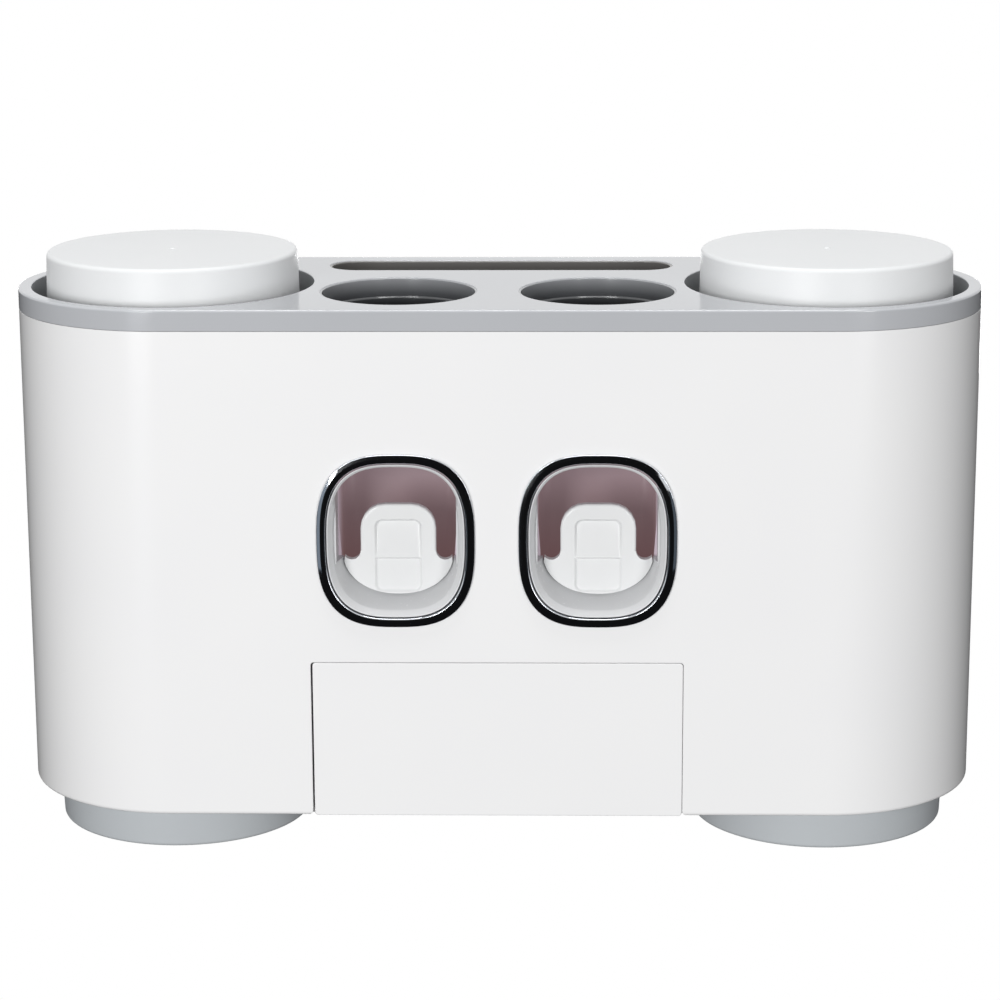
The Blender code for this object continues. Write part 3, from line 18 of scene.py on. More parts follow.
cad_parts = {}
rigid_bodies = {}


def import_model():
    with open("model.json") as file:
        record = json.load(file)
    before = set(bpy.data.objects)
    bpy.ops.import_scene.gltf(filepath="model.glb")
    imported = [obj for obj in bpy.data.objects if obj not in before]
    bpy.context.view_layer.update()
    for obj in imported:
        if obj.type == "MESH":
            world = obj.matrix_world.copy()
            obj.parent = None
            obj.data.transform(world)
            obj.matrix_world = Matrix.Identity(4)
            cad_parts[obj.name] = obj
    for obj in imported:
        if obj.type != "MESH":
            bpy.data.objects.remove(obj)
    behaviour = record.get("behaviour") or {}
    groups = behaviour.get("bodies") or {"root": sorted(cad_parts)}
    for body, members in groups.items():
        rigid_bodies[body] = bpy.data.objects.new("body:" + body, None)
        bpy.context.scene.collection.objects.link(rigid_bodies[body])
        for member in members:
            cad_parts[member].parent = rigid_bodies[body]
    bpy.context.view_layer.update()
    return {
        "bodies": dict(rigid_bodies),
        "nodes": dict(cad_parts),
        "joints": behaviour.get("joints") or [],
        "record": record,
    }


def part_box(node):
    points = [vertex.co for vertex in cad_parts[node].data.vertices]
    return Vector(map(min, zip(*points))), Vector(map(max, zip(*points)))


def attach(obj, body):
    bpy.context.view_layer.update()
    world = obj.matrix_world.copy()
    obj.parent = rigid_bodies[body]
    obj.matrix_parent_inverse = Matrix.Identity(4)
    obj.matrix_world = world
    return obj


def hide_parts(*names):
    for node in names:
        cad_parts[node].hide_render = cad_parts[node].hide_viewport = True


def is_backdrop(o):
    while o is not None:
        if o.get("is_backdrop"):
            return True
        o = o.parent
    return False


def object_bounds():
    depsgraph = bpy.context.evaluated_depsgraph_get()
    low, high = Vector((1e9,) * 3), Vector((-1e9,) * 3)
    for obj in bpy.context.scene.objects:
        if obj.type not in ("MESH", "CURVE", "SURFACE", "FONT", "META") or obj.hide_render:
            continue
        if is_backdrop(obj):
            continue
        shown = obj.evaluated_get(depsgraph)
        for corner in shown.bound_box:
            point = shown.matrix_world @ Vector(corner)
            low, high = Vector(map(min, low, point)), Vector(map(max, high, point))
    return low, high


LOG = logging.getLogger("toothbrush_holder")

MM = 0.001
OVERRUN = 2.0 * MM
SEAT = 0.3 * MM
HAIRLINE = 0.004 * MM

# Lengths that pieces which meet have in common
FOOT_RADIUS = 38.1 * MM
FOOT_PLAY = 0.6 * MM
CUP_FLANGE = 1.3 * MM
TUBE_FLANGE = 2.7 * MM
SLOT_FLANGE = 2.8 * MM
BRIM_DROP = 0.25 * MM
SLEEVE_DEPTH = 20.0 * MM

# How finely rounds are stepped
ROUND_STEPS = 128
ROD_STEPS = 48
HOLE_STEPS = 32
OVAL_STEPS = 144
END_STEPS = 48
STRAIGHT_STEPS = 12
NOTCH_STEPS = 12
DISH_STEPS = 8
FILLET_STEPS = 5
EDGE_STEPS = 3

# Edges that turn by more stay sharp, and by more still are broken
SHARP_ANGLE = math.radians(35)
BROKEN_ANGLE = math.radians(50)

# The most of a side that one corner's fillet takes
CORNER_ROOM = 0.49

Point = tuple[float, float]
Corner = tuple[float, float, float]
Spot = tuple[float, float, float]
Ring = list[Spot]


class Side(Enum):
    """The two halves of the holder, valued by the sign of X."""

    LEFT = -1
    RIGHT = 1

    @property
    def label(self) -> str:
        """The side's word in node names."""
        return self.name.lower()


class Slot(Enum):
    """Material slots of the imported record."""

    WHITE_ABS = "white_abs"
    WHITE_PP = "white_pp"
    GREY_ABS = "grey_abs"
    GREY_PP = "grey_pp"
    CHROME = "chrome"
    SMOKE_PC = "smoke_pc"
    SILICONE = "silicone"
    STEEL = "steel"
    FOAM_TAPE = "foam_tape"


def linear(hex_colour: str) -> tuple[float, float, float, float]:
    """Turns an sRGB hex colour to linear.

    Args:
        hex_colour: six hex digits after a hash sign.

    Returns:
        Red, green, blue and an alpha of one.
    """
    values = []
    for i in (1, 3, 5):
        channel = int(hex_colour[i:i + 2], 16) / 255
        low = channel <= 0.04045
        values.append(channel / 12.92 if low else ((channel + 0.055) / 1.055) ** 2.4)
    return (values[0], values[1], values[2], 1.0)


def add_node(
    tree: bpy.types.NodeTree,
    kind: str,
    values: dict[str | int, object] | None = None,
    links: dict[str | int, bpy.types.NodeSocket] | None = None,
    **settings: object,
) -> bpy.types.Node:
    """Adds a node with its settings, input values and links.

    Args:
        tree: the node tree.
        kind: the node's type name.
        values: input name or number to value.
        links: input name or number to the socket that feeds it.
        settings: the node's own attributes.

    Returns:
        The new node.
    """
    node = tree.nodes.new(kind)
    for name, value in settings.items():
        setattr(node, name, value)
    for name, value in (values or {}).items():
        node.inputs[name].default_value = value
    for name, socket in (links or {}).items():
        tree.links.new(socket, node.inputs[name])
    return node


def blank_material(name: str) -> tuple[bpy.types.Material, bpy.types.NodeTree]:
    """Makes a material with an empty node tree.

    Args:
        name: the material's name.

    Returns:
        The material and its tree.
    """
    material = bpy.data.materials.new(name)
    material.use_nodes = True
    material.node_tree.nodes.clear()
    return material, material.node_tree


def gloss_range(roughness: float, spread: float) -> dict[str, float]:
    """How far a pattern varies the gloss, as input values of the node that does it.

    Args:
        roughness: the mean roughness.
        spread: share by which it varies.

    Returns:
        The least and the greatest roughness, by input name.
    """
    return {"To Min": roughness * (1 - spread), "To Max": roughness * (1 + spread)}


@dataclass(frozen=True)
class MouldedPlastic:
    """A moulded plastic: its colour, gloss and the flow marks of the tool.

    Args:
        name: plastic and process.
        colour: body colour as hex.
        shade: the slightly deeper colour of the melt's flow, as hex.
        roughness: the polish of the tool.
        ior: of the plastic.
        wave_mm: width of the long ripple that the tool leaves.
        wave_depth_mm: its height.
        grain_mm: width of the fine grain in the gloss.
        gleam: share of the surface's reflection, half for a plain plastic.
        flow: length of a flow mark, in ripples.
        spread: share by which the grain varies the gloss.
    """

    name: str
    colour: str
    shade: str
    roughness: float
    ior: float
    wave_mm: float
    wave_depth_mm: float
    grain_mm: float
    gleam: float = 0.5
    flow: float = 4.0
    spread: float = 0.15

    def material(self) -> bpy.types.Material:
        """Builds the shader: flow marks in the colour, grain in the gloss, a ripple in relief.

        Returns:
            The material.
        """
        material, tree = blank_material(self.name)
        place = add_node(tree, "ShaderNodeTexCoord").outputs["Object"]
        flow = add_node(
            tree,
            "ShaderNodeTexNoise",
            {"Scale": 1 / (self.wave_mm * self.flow * MM), "Detail": 2.0, "Roughness": 0.4},
            {"Vector": place},
        )
        tint = add_node(
            tree,
            "ShaderNodeMix",
            {"A": linear(self.colour), "B": linear(self.shade)},
            {"Factor": flow.outputs["Fac"]},
            data_type="RGBA",
        )
        grain = add_node(
            tree,
            "ShaderNodeTexNoise",
            {"Scale": 1 / (self.grain_mm * MM), "Detail": 3.0},
            {"Vector": place},
        )
        gloss = add_node(
            tree,
            "ShaderNodeMapRange",
            gloss_range(self.roughness, self.spread),
            {"Value": grain.outputs["Fac"]},
        )
        wave = add_node(
            tree,
            "ShaderNodeTexNoise",
            {"Scale": 1 / (self.wave_mm * MM), "Detail": 1.0},
            {"Vector": place},
        )
        relief = add_node(
            tree,
            "ShaderNodeBump",
            {"Strength": 1.0, "Distance": self.wave_depth_mm * MM},
            {"Height": wave.outputs["Fac"]},
        )
        shader = add_node(
            tree,
            "ShaderNodeBsdfPrincipled",
            {"IOR": self.ior, "Specular IOR Level": self.gleam},
            {
                "Base Color": tint.outputs["Result"],
                "Roughness": gloss.outputs["Result"],
                "Normal": relief.outputs["Normal"],
            },
        )
        add_node(tree, "ShaderNodeOutputMaterial", links={"Surface": shader.outputs["BSDF"]})
        return material


@dataclass(frozen=True)
class GradedPlastic:
    """A moulded plastic whose colour is painted darker downwards, as shade where less light gets
    in.

    Args:
        name: plastic and process.
        top: colour at the upper level, as hex.
        middle: colour half way, as hex.
        bottom: colour at the lower level, as hex.
        top_z: the upper level.
        depth: how far below it the lower level lies.
        roughness: of the moulded skin.
        glow: share of its colour that it gives off as emission, a painted glow that stands in for
            light scattered inside the wall.
        front: a lighter colour at the front edge, painted light where the most light gets in, as
            hex; none if empty.
        front_y: depth of that edge.
        reach: how far in that colour fades.
        ior: of the plastic.
        grain_mm: width of the fine grain in the gloss.
        spread: share by which the grain varies the gloss.
    """

    name: str
    top: str
    middle: str
    bottom: str
    top_z: float
    depth: float
    roughness: float
    glow: float = 0.0
    front: str = ""
    front_y: float = 0.0
    reach: float = 0.0
    ior: float = 1.58
    grain_mm: float = 1.5
    spread: float = 0.1

    def material(self) -> bpy.types.Material:
        """Builds the shader, with painted shade laid along height, painted light along depth if
        asked, and a painted glow.

        Returns:
            The material.
        """
        material, tree = blank_material(self.name)
        place = add_node(tree, "ShaderNodeTexCoord").outputs["Object"]
        parts = add_node(tree, "ShaderNodeSeparateXYZ", links={"Vector": place})
        # Painted shade: the colour darkens from the upper level down to the lower one
        level = add_node(
            tree,
            "ShaderNodeMapRange",
            {"From Min": self.top_z - self.depth, "From Max": self.top_z},
            {"Value": parts.outputs["Z"]},
        )
        ramp = add_node(tree, "ShaderNodeValToRGB", links={"Fac": level.outputs["Result"]})
        ramp.color_ramp.elements[0].color = linear(self.bottom)
        ramp.color_ramp.elements[1].color = linear(self.top)
        ramp.color_ramp.elements.new(0.5).color = linear(self.middle)
        colour = ramp.outputs["Color"]
        # Painted light: a lighter colour near the front edge, fading inwards
        if self.front:
            ahead = add_node(
                tree,
                "ShaderNodeMapRange",
                {"From Min": self.front_y + self.reach, "From Max": self.front_y},
                {"Value": parts.outputs["Y"]},
            )
            colour = add_node(
                tree,
                "ShaderNodeMix",
                {"B": linear(self.front)},
                {"Factor": ahead.outputs["Result"], "A": colour},
                data_type="RGBA",
            ).outputs["Result"]
        grain = add_node(
            tree,
            "ShaderNodeTexNoise",
            {"Scale": 1 / (self.grain_mm * MM), "Detail": 2.0},
            {"Vector": place},
        )
        gloss = add_node(
            tree,
            "ShaderNodeMapRange",
            gloss_range(self.roughness, self.spread),
            {"Value": grain.outputs["Fac"]},
        )
        # The emission is a painted glow in the same painted colours
        shader = add_node(
            tree,
            "ShaderNodeBsdfPrincipled",
            {"IOR": self.ior, "Emission Strength": self.glow},
            {
                "Base Color": colour,
                "Emission Color": colour,
                "Roughness": gloss.outputs["Result"],
            },
        )
        add_node(tree, "ShaderNodeOutputMaterial", links={"Surface": shader.outputs["BSDF"]})
        return material


@dataclass(frozen=True)
class Metal:
    """A metal or a plated skin, with the faint scratches of its finish.

    Args:
        name: metal and process.
        colour: reflected colour as hex.
        roughness: of the finish.
        scratch_mm: spacing of the polishing marks.
        scratch_depth_mm: their depth.
        spread: share by which the marks vary the gloss.
    """

    name: str
    colour: str
    roughness: float
    scratch_mm: float
    scratch_depth_mm: float
    spread: float = 0.3

    def material(self) -> bpy.types.Material:
        """Builds the shader, with the marks in gloss and relief.

        Returns:
            The material.
        """
        material, tree = blank_material(self.name)
        place = add_node(tree, "ShaderNodeTexCoord").outputs["Object"]
        marks = add_node(
            tree,
            "ShaderNodeTexNoise",
            {"Scale": 1 / (self.scratch_mm * MM), "Detail": 2.0},
            {"Vector": place},
        )
        gloss = add_node(
            tree,
            "ShaderNodeMapRange",
            gloss_range(self.roughness, self.spread),
            {"Value": marks.outputs["Fac"]},
        )
        relief = add_node(
            tree,
            "ShaderNodeBump",
            {"Strength": 1.0, "Distance": self.scratch_depth_mm * MM},
            {"Height": marks.outputs["Fac"]},
        )
        shader = add_node(
            tree,
            "ShaderNodeBsdfPrincipled",
            {"Base Color": linear(self.colour), "Metallic": 1.0},
            {"Roughness": gloss.outputs["Result"], "Normal": relief.outputs["Normal"]},
        )
        add_node(tree, "ShaderNodeOutputMaterial", links={"Surface": shader.outputs["BSDF"]})
        return material


def filleted(corners: Sequence[Corner], closed: bool = False) -> list[Point]:
    """Rounds the corners of a line in a plane.

    Args:
        corners: (across, up, radius) of each corner; a radius of zero leaves it sharp.
        closed: whether the last corner runs back to the first.

    Returns:
        The points along the line.
    """
    points: list[Point] = []
    count = len(corners)
    for i, (across, up, radius) in enumerate(corners):
        at_end = not closed and i in (0, count - 1)
        if radius <= 0 or at_end:
            points.append((across, up))
            continue
        here = Vector((across, up))
        back = Vector(corners[i - 1][:2]) - here
        ahead = Vector(corners[(i + 1) % count][:2]) - here
        room = min(back.length, ahead.length) * CORNER_ROOM
        back.normalize()
        ahead.normalize()
        half = back.angle(ahead) / 2
        reach = min(radius / math.tan(half), room)
        middle = here + (back + ahead).normalized() * (reach / math.cos(half))
        start = here + back * reach - middle
        end = here + ahead * reach - middle
        turn = math.atan2(start.x * end.y - start.y * end.x, start.dot(end))
        for step in range(FILLET_STEPS + 1):
            angle = turn * step / FILLET_STEPS
            c, s = math.cos(angle), math.sin(angle)
            points.append((middle.x + start.x * c - start.y * s,
                           middle.y + start.x * s + start.y * c))
    return points


def stadium(radius: float, half_length: float, centre_y: float, z: float) -> Ring:
    """Two half rounds joined by straight sides, as a level ring.

    Args:
        radius: of the half rounds.
        half_length: from the middle to the centre of a half round.
        centre_y: the ring's centre in depth.
        z: its height.

    Returns:
        Points round the ring.
    """
    ring = []
    for side in (1, -1):
        for i in range(END_STEPS + 1):
            angle = math.pi * (i / END_STEPS - 0.5)
            x = side * (half_length + radius * math.cos(angle))
            ring.append((x, centre_y + side * radius * math.sin(angle), z))
        for i in range(1, STRAIGHT_STEPS):
            x = side * half_length * (1 - 2 * i / STRAIGHT_STEPS)
            ring.append((x, centre_y + side * radius, z))
    return ring


def squared(angle: float, power: float) -> Point:
    """The direction's point on a superellipse with a reach of one.

    Args:
        angle: the direction.
        power: how square the superellipse is.

    Returns:
        The point, across and up.
    """
    c, s = math.cos(angle), math.sin(angle)
    return (math.copysign(abs(c) ** (2 / power), c), math.copysign(abs(s) ** (2 / power), s))


def oval(centre: Vector, half_width: float, half_up: float, half_down: float,
         power: float) -> Ring:
    """An upright superellipse ring with its own upper and lower half.

    Args:
        centre: its centre.
        half_width: its reach to each side.
        half_up: its reach upwards.
        half_down: its reach downwards.
        power: how square it is.

    Returns:
        Points round the ring.
    """
    ring = []
    for i in range(OVAL_STEPS):
        across, up = squared(2 * math.pi * i / OVAL_STEPS, power)
        reach = half_up if up > 0 else half_down
        ring.append((centre.x + across * half_width, centre.y, centre.z + up * reach))
    return ring


def arc(centre: Point, radius: float, start_degrees: float, end_degrees: float,
        steps: int) -> list[Point]:
    """Points round part of a circle.

    Args:
        centre: the circle's centre.
        radius: of the circle.
        start_degrees: where the arc starts.
        end_degrees: where it ends.
        steps: how many parts it has.

    Returns:
        The points, both ends included.
    """
    points = []
    for i in range(steps + 1):
        angle = math.radians(start_degrees + (end_degrees - start_degrees) * i / steps)
        points.append((centre[0] + radius * math.cos(angle), centre[1] + radius * math.sin(angle)))
    return points


def between(start: Ring, end: Ring, share: float, y: float) -> Ring:
    """The ring part of the way from one ring to another, at a depth."""
    return [(a[0] + (b[0] - a[0]) * share, y, a[2] + (b[2] - a[2]) * share)
            for a, b in zip(start, end)]


def lip_steps(lip: float, face: float, inner: float) -> list[Point]:
    """How a hole widens towards a face, so that its rim is left rounded.

    Args:
        lip: radius of the rim.
        face: level of the face that the rim lies in.
        inner: level at the hole's other end.

    Returns:
        (growth, level) of the hole from outside the face to its inner end.
    """
    inward = math.copysign(1.0, inner - face)
    steps = [(lip, face - inward * OVERRUN), (lip, face - inward * HAIRLINE)]
    for i in range(1, FILLET_STEPS + 1):
        turn = math.pi / 2 * i / FILLET_STEPS
        steps.append((lip * (1 - math.sin(turn)), face + inward * lip * (1 - math.cos(turn))))
    steps.append((0, inner))
    return steps


def piece_from(name: str, bm: bmesh.types.BMesh) -> bpy.types.Object:
    """Turns a bmesh into a smooth-shaded object whose hard edges stay sharp.

    Args:
        name: the piece's name.
        bm: its mesh, which is freed.

    Returns:
        The new object.
    """
    bmesh.ops.recalc_face_normals(bm, faces=bm.faces)
    mesh = bpy.data.meshes.new(name)
    bm.to_mesh(mesh)
    bm.free()
    mesh.shade_smooth()
    mesh.set_sharp_from_angle(angle=SHARP_ANGLE)
    piece = bpy.data.objects.new(name, mesh)
    bpy.context.scene.collection.objects.link(piece)
    return piece


def skin(bm: bmesh.types.BMesh, loops: Sequence[Sequence[bmesh.types.BMVert]],
         closed: bool) -> None:
    """Joins a run of loops by faces.

    Args:
        bm: the mesh.
        loops: loops of as many points, or of one point that its neighbour closes on.
        closed: whether the last loop is joined to the first.
    """
    pairs = list(zip(loops, loops[1:]))
    if closed:
        pairs.append((loops[-1], loops[0]))
    for lower, upper in pairs:
        count = max(len(lower), len(upper))
        for i in range(count):
            j = (i + 1) % count
            corners = dict.fromkeys((lower[i % len(lower)], lower[j % len(lower)],
                                     upper[j % len(upper)], upper[i % len(upper)]))
            if len(corners) > 2:
                bm.faces.new(tuple(corners))


def loft(name: str, rings: Sequence[Ring], closed: bool = False) -> bpy.types.Object:
    """Skins a run of rings.

    Args:
        name: the piece's name.
        rings: rings of as many points.
        closed: whether the last joins the first; else both ends are capped.

    Returns:
        The new piece.
    """
    bm = bmesh.new()
    loops = [[bm.verts.new(point) for point in ring] for ring in rings]
    skin(bm, loops, closed)
    if not closed:
        bm.faces.new(loops[0][::-1])
        bm.faces.new(loops[-1])
    return piece_from(name, bm)


def turned(
    name: str, profile: Sequence[Point], centre: Vector, axis: Vector = Vector((0, 0, 1)),
    steps: int = ROUND_STEPS, closed: bool = False,
) -> bpy.types.Object:
    """Turns a profile of (radius, height) about an axis.

    Args:
        name: the piece's name.
        profile: points that start and end on the axis, unless closed round a bore.
        centre: where the axis has height zero.
        axis: which way height runs.
        steps: facets round the axis.
        closed: whether the profile closes on itself.

    Returns:
        The turned piece.
    """
    turn = axis.to_track_quat("Z", "Y").to_matrix()
    bm = bmesh.new()
    loops = []
    for radius, height in profile:
        loop = []
        for i in range(steps if radius > 0 else 1):
            angle = 2 * math.pi * i / steps
            spot = Vector((radius * math.cos(angle), radius * math.sin(angle), height))
            loop.append(bm.verts.new(centre + turn @ spot))
        loops.append(loop)
    skin(bm, loops, closed)
    return piece_from(name, bm)


def rod(name: str, start: Vector, end: Vector, radius: float,
        steps: int = ROD_STEPS) -> bpy.types.Object:
    """A straight round bar.

    Args:
        name: the bar's name.
        start: the middle of one end.
        end: the middle of the other.
        radius: of the bar.
        steps: facets round it.

    Returns:
        The bar.
    """
    length = (end - start).length
    profile = ((0, 0), (radius, 0), (radius, length), (0, length))
    return turned(name, profile, start, (end - start).normalized(), steps)


def axle(name: str, middle: Vector, half: float, radius: float,
         steps: int = ROD_STEPS) -> bpy.types.Object:
    """A round bar from left to right, given by its middle and half its length."""
    return rod(name, middle - Vector((half, 0, 0)), middle + Vector((half, 0, 0)), radius, steps)


def upright_hole(name: str, spot: Vector, thickness: float, radius: float,
                 steps: int = ROD_STEPS) -> bpy.types.Object:
    """A cutter for an upright hole through a floor or a roof.

    Args:
        name: the cutter's name.
        spot: the hole's middle, at the wall's under side.
        thickness: of that wall.
        radius: of the hole.
        steps: facets round it.

    Returns:
        The cutter.
    """
    return rod(name, spot - Vector((0, 0, OVERRUN)), spot + Vector((0, 0, thickness + OVERRUN)),
               radius, steps)


def rimmed_hole(name: str, radius: float, steps: Sequence[Point],
                centre: Vector) -> bpy.types.Object:
    """A cutter for a round hole whose rim is left rounded.

    Args:
        name: the cutter's name.
        radius: of the hole.
        steps: (growth, level) of the hole, as lip_steps gives them.
        centre: the hole's middle in plan.

    Returns:
        The cutter.
    """
    wall = [(radius + grow, z) for grow, z in steps]
    return turned(name, [(0, wall[0][1]), *wall, (0, wall[-1][1])], centre)


def block(name: str, low: Vector, high: Vector, corner: float = 0.0) -> bpy.types.Object:
    """A box whose edges that run in depth are rounded.

    Args:
        name: the box's name.
        low: its lower left front corner.
        high: its upper right back corner.
        corner: radius on those edges.

    Returns:
        The box.
    """
    outline = filleted([(low.x, low.z, corner), (high.x, low.z, corner),
                        (high.x, high.z, corner), (low.x, high.z, corner)], closed=True)
    return loft(name, [[(x, y, z) for x, z in outline] for y in (low.y, high.y)])


def plan_centre(low: Vector, high: Vector) -> Vector:
    """The middle of a box in plan, at height zero."""
    return Vector(((low.x + high.x) / 2, (low.y + high.y) / 2, 0))


def settle(piece: bpy.types.Object) -> bpy.types.Object:
    """Replaces a piece's mesh by the one that its modifiers give.

    Args:
        piece: the piece.

    Returns:
        The same piece.
    """
    graph = bpy.context.evaluated_depsgraph_get()
    mesh = bpy.data.meshes.new_from_object(piece.evaluated_get(graph))
    piece.modifiers.clear()
    piece.data = mesh
    return piece


def even_normals(piece: bpy.types.Object) -> bpy.types.Object:
    """Lets the large flat faces rule the shading where they meet a round.

    Args:
        piece: the piece.

    Returns:
        The same piece.
    """
    weigh = piece.modifiers.new("Normals", "WEIGHTED_NORMAL")
    weigh.keep_sharp = True
    return settle(piece)


def carve(
    piece: bpy.types.Object, cut: Sequence[bpy.types.Object] = (),
    joined: Sequence[bpy.types.Object] = (), edge: float = 0.0,
) -> bpy.types.Object:
    """Joins shapes on, takes others away and breaks the edges that this leaves.

    Args:
        piece: the body that is worked.
        cut: shapes taken away, which are used up.
        joined: shapes joined on first, which are used up.
        edge: radius on the edges that turn by more than BROKEN_ANGLE.

    Returns:
        The same piece.
    """
    for operation, shapes in (("UNION", joined), ("DIFFERENCE", cut)):
        if not shapes:
            continue
        group = bpy.data.collections.new(operation.lower())
        for shape in shapes:
            group.objects.link(shape)
        step = piece.modifiers.new(group.name, "BOOLEAN")
        step.operation = operation
        step.operand_type = "COLLECTION"
        step.collection = group
        step.solver = "EXACT"
    weld = piece.modifiers.new("Weld", "WELD")
    weld.merge_threshold = HAIRLINE / 2
    if edge:
        bevel = piece.modifiers.new("Edges", "BEVEL")
        bevel.width = edge
        bevel.segments = EDGE_STEPS
        bevel.limit_method = "ANGLE"
        bevel.angle_limit = BROKEN_ANGLE
    settle(piece)
    for shape in (*cut, *joined):
        bpy.data.objects.remove(shape)
    piece.data.shade_smooth()
    piece.data.set_sharp_from_angle(angle=SHARP_ANGLE)
    return even_normals(piece)


def fit(piece: bpy.types.Object, finish: bpy.types.Material, slot: Slot, body: str,
        *nodes: str) -> None:
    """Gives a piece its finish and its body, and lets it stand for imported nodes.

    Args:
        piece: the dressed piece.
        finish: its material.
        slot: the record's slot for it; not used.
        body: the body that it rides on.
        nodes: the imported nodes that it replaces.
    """
    piece.data.materials.clear()
    piece.data.materials.append(finish)
    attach(piece, body)
    if nodes:
        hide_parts(*nodes)
    LOG.info("%s rides on %s", piece.name, body)


@dataclass(frozen=True)
class Finishes:
    """The materials of the holder, one for each finish, with greyer copies of the white ABS that
    paint the shade on the levers and bowls.
    """

    white_abs: bpy.types.Material
    lever_abs: bpy.types.Material
    bowl_abs: bpy.types.Material
    white_pp: bpy.types.Material
    grey_abs: bpy.types.Material
    funnel_abs: bpy.types.Material
    sleeve_abs: bpy.types.Material
    pocket_abs: bpy.types.Material
    grey_pp: bpy.types.Material
    chrome: bpy.types.Material
    smoke_pc: bpy.types.Material
    silicone: bpy.types.Material
    steel: bpy.types.Material
    foam_tape: bpy.types.Material

    @classmethod
    def mixed(cls) -> "Finishes":
        """Makes every material.

        Returns:
            The set of them.
        """
        cavity_low, cavity_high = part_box("dispenser_chamber_left")
        deck_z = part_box("top_deck")[1].z
        return cls(
            # ABS from a mirror-polished tool: an even white skin with soft, clear reflections
            white_abs=MouldedPlastic(
                "white_abs_gloss_moulded", "#f0f0f0", "#ededee", roughness=0.16, ior=1.50,
                wave_mm=9.0, wave_depth_mm=0.004, grain_mm=1.2).material(),
            # The levers' ABS: the same gloss, in a greyer copy of the white that paints the shade
            # of the recessed window
            lever_abs=MouldedPlastic(
                "off_white_abs_gloss_moulded", "#e7e8e8", "#e3e4e5", roughness=0.11, ior=1.50,
                wave_mm=6.0, wave_depth_mm=0.004, grain_mm=1.0).material(),
            # The bowls' ABS: duller, and a still greyer copy of the white that paints the shade
            # deep in the bowl round the lever
            bowl_abs=MouldedPlastic(
                "pale_grey_abs_gloss_moulded", "#d5d6d7", "#d1d2d4", roughness=0.26, ior=1.50,
                wave_mm=6.0, wave_depth_mm=0.004, grain_mm=1.0, gleam=0.3).material(),
            # Polypropylene from a satin tool: a milkier white whose highlights spread a little
            white_pp=MouldedPlastic(
                "white_polypropylene_satin_moulded", "#e3e4e5", "#dfe1e2", roughness=0.42,
                ior=1.49, wave_mm=7.0, wave_depth_mm=0.005, grain_mm=0.9, gleam=0.3).material(),
            # Grey ABS from the same polished tool: mirrors the tumblers beside it
            grey_abs=MouldedPlastic(
                "grey_abs_gloss_moulded", "#b8babe", "#b4b6ba", roughness=0.12, ior=1.52,
                wave_mm=9.0, wave_depth_mm=0.003, grain_mm=1.2).material(),
            # The funnels' ABS: wet-looking highlights on a grey with painted shade, darkening to
            # near black down the funnel
            funnel_abs=GradedPlastic(
                "dark_grey_abs_gloss_moulded", "#9c9ea1", "#626467", "#141517", top_z=deck_z,
                depth=9.0 * MM, roughness=0.13).material(),
            # The wells' sleeves: satin ABS, grey with painted shade that darkens it further down
            # the well
            sleeve_abs=GradedPlastic(
                "slate_grey_abs_satin_moulded", "#b9bbbd", "#77797b", "#2b2c2e", top_z=deck_z,
                depth=SLEEVE_DEPTH, roughness=0.3).material(),
            # The brush pocket's ABS: glossy again, a warmer grey with painted shade that darkens
            # it further down the slot
            pocket_abs=GradedPlastic(
                "warm_grey_abs_gloss_moulded", "#797775", "#5b5957", "#3a3836", top_z=deck_z,
                depth=16.0 * MM, roughness=0.14).material(),
            # Polypropylene wells: blue-grey, satin, seen as discs below the housing
            grey_pp=MouldedPlastic(
                "grey_polypropylene_satin_moulded", "#bcc1c4", "#b8bcc0", roughness=0.32,
                ior=1.49, wave_mm=7.0, wave_depth_mm=0.005, grain_mm=0.9).material(),
            # Bright chrome plated on ABS: a mirror with the moulding's faint waviness
            chrome=Metal(
                "chrome_plated_abs", "#c9ccd1", roughness=0.05, scratch_mm=6.0,
                scratch_depth_mm=0.002).material(),
            # Smoked polycarbonate in mauve and red-brown: painted shade darkens it downwards,
            # painted light lightens its front edge, and a painted glow lifts it all
            smoke_pc=GradedPlastic(
                "smoked_polycarbonate_moulded", "#8c7c84", "#7a676a", "#6e4c4a",
                top_z=cavity_high.z, depth=cavity_high.z - cavity_low.z, roughness=0.35,
                glow=0.55, front="#a1949d", front_y=cavity_low.y, reach=17.0 * MM).material(),
            # Moulded silicone: dull and milky
            silicone=MouldedPlastic(
                "silicone_rubber_moulded", "#d9d9d6", "#d0d0cc", roughness=0.55, ior=1.41,
                wave_mm=4.0, wave_depth_mm=0.01, grain_mm=0.5).material(),
            # Stainless steel, drawn and tumbled: grey with a soft sheen
            steel=Metal(
                "stainless_steel_tumbled", "#b9babc", roughness=0.30, scratch_mm=0.4,
                scratch_depth_mm=0.004).material(),
            # Acrylic foam tape: matt, with an open grain
            foam_tape=MouldedPlastic(
                "acrylic_foam_tape", "#e4e4e0", "#d8d8d3", roughness=0.85, ior=1.45,
                wave_mm=1.2, wave_depth_mm=0.05, grain_mm=0.4).material(),
        )


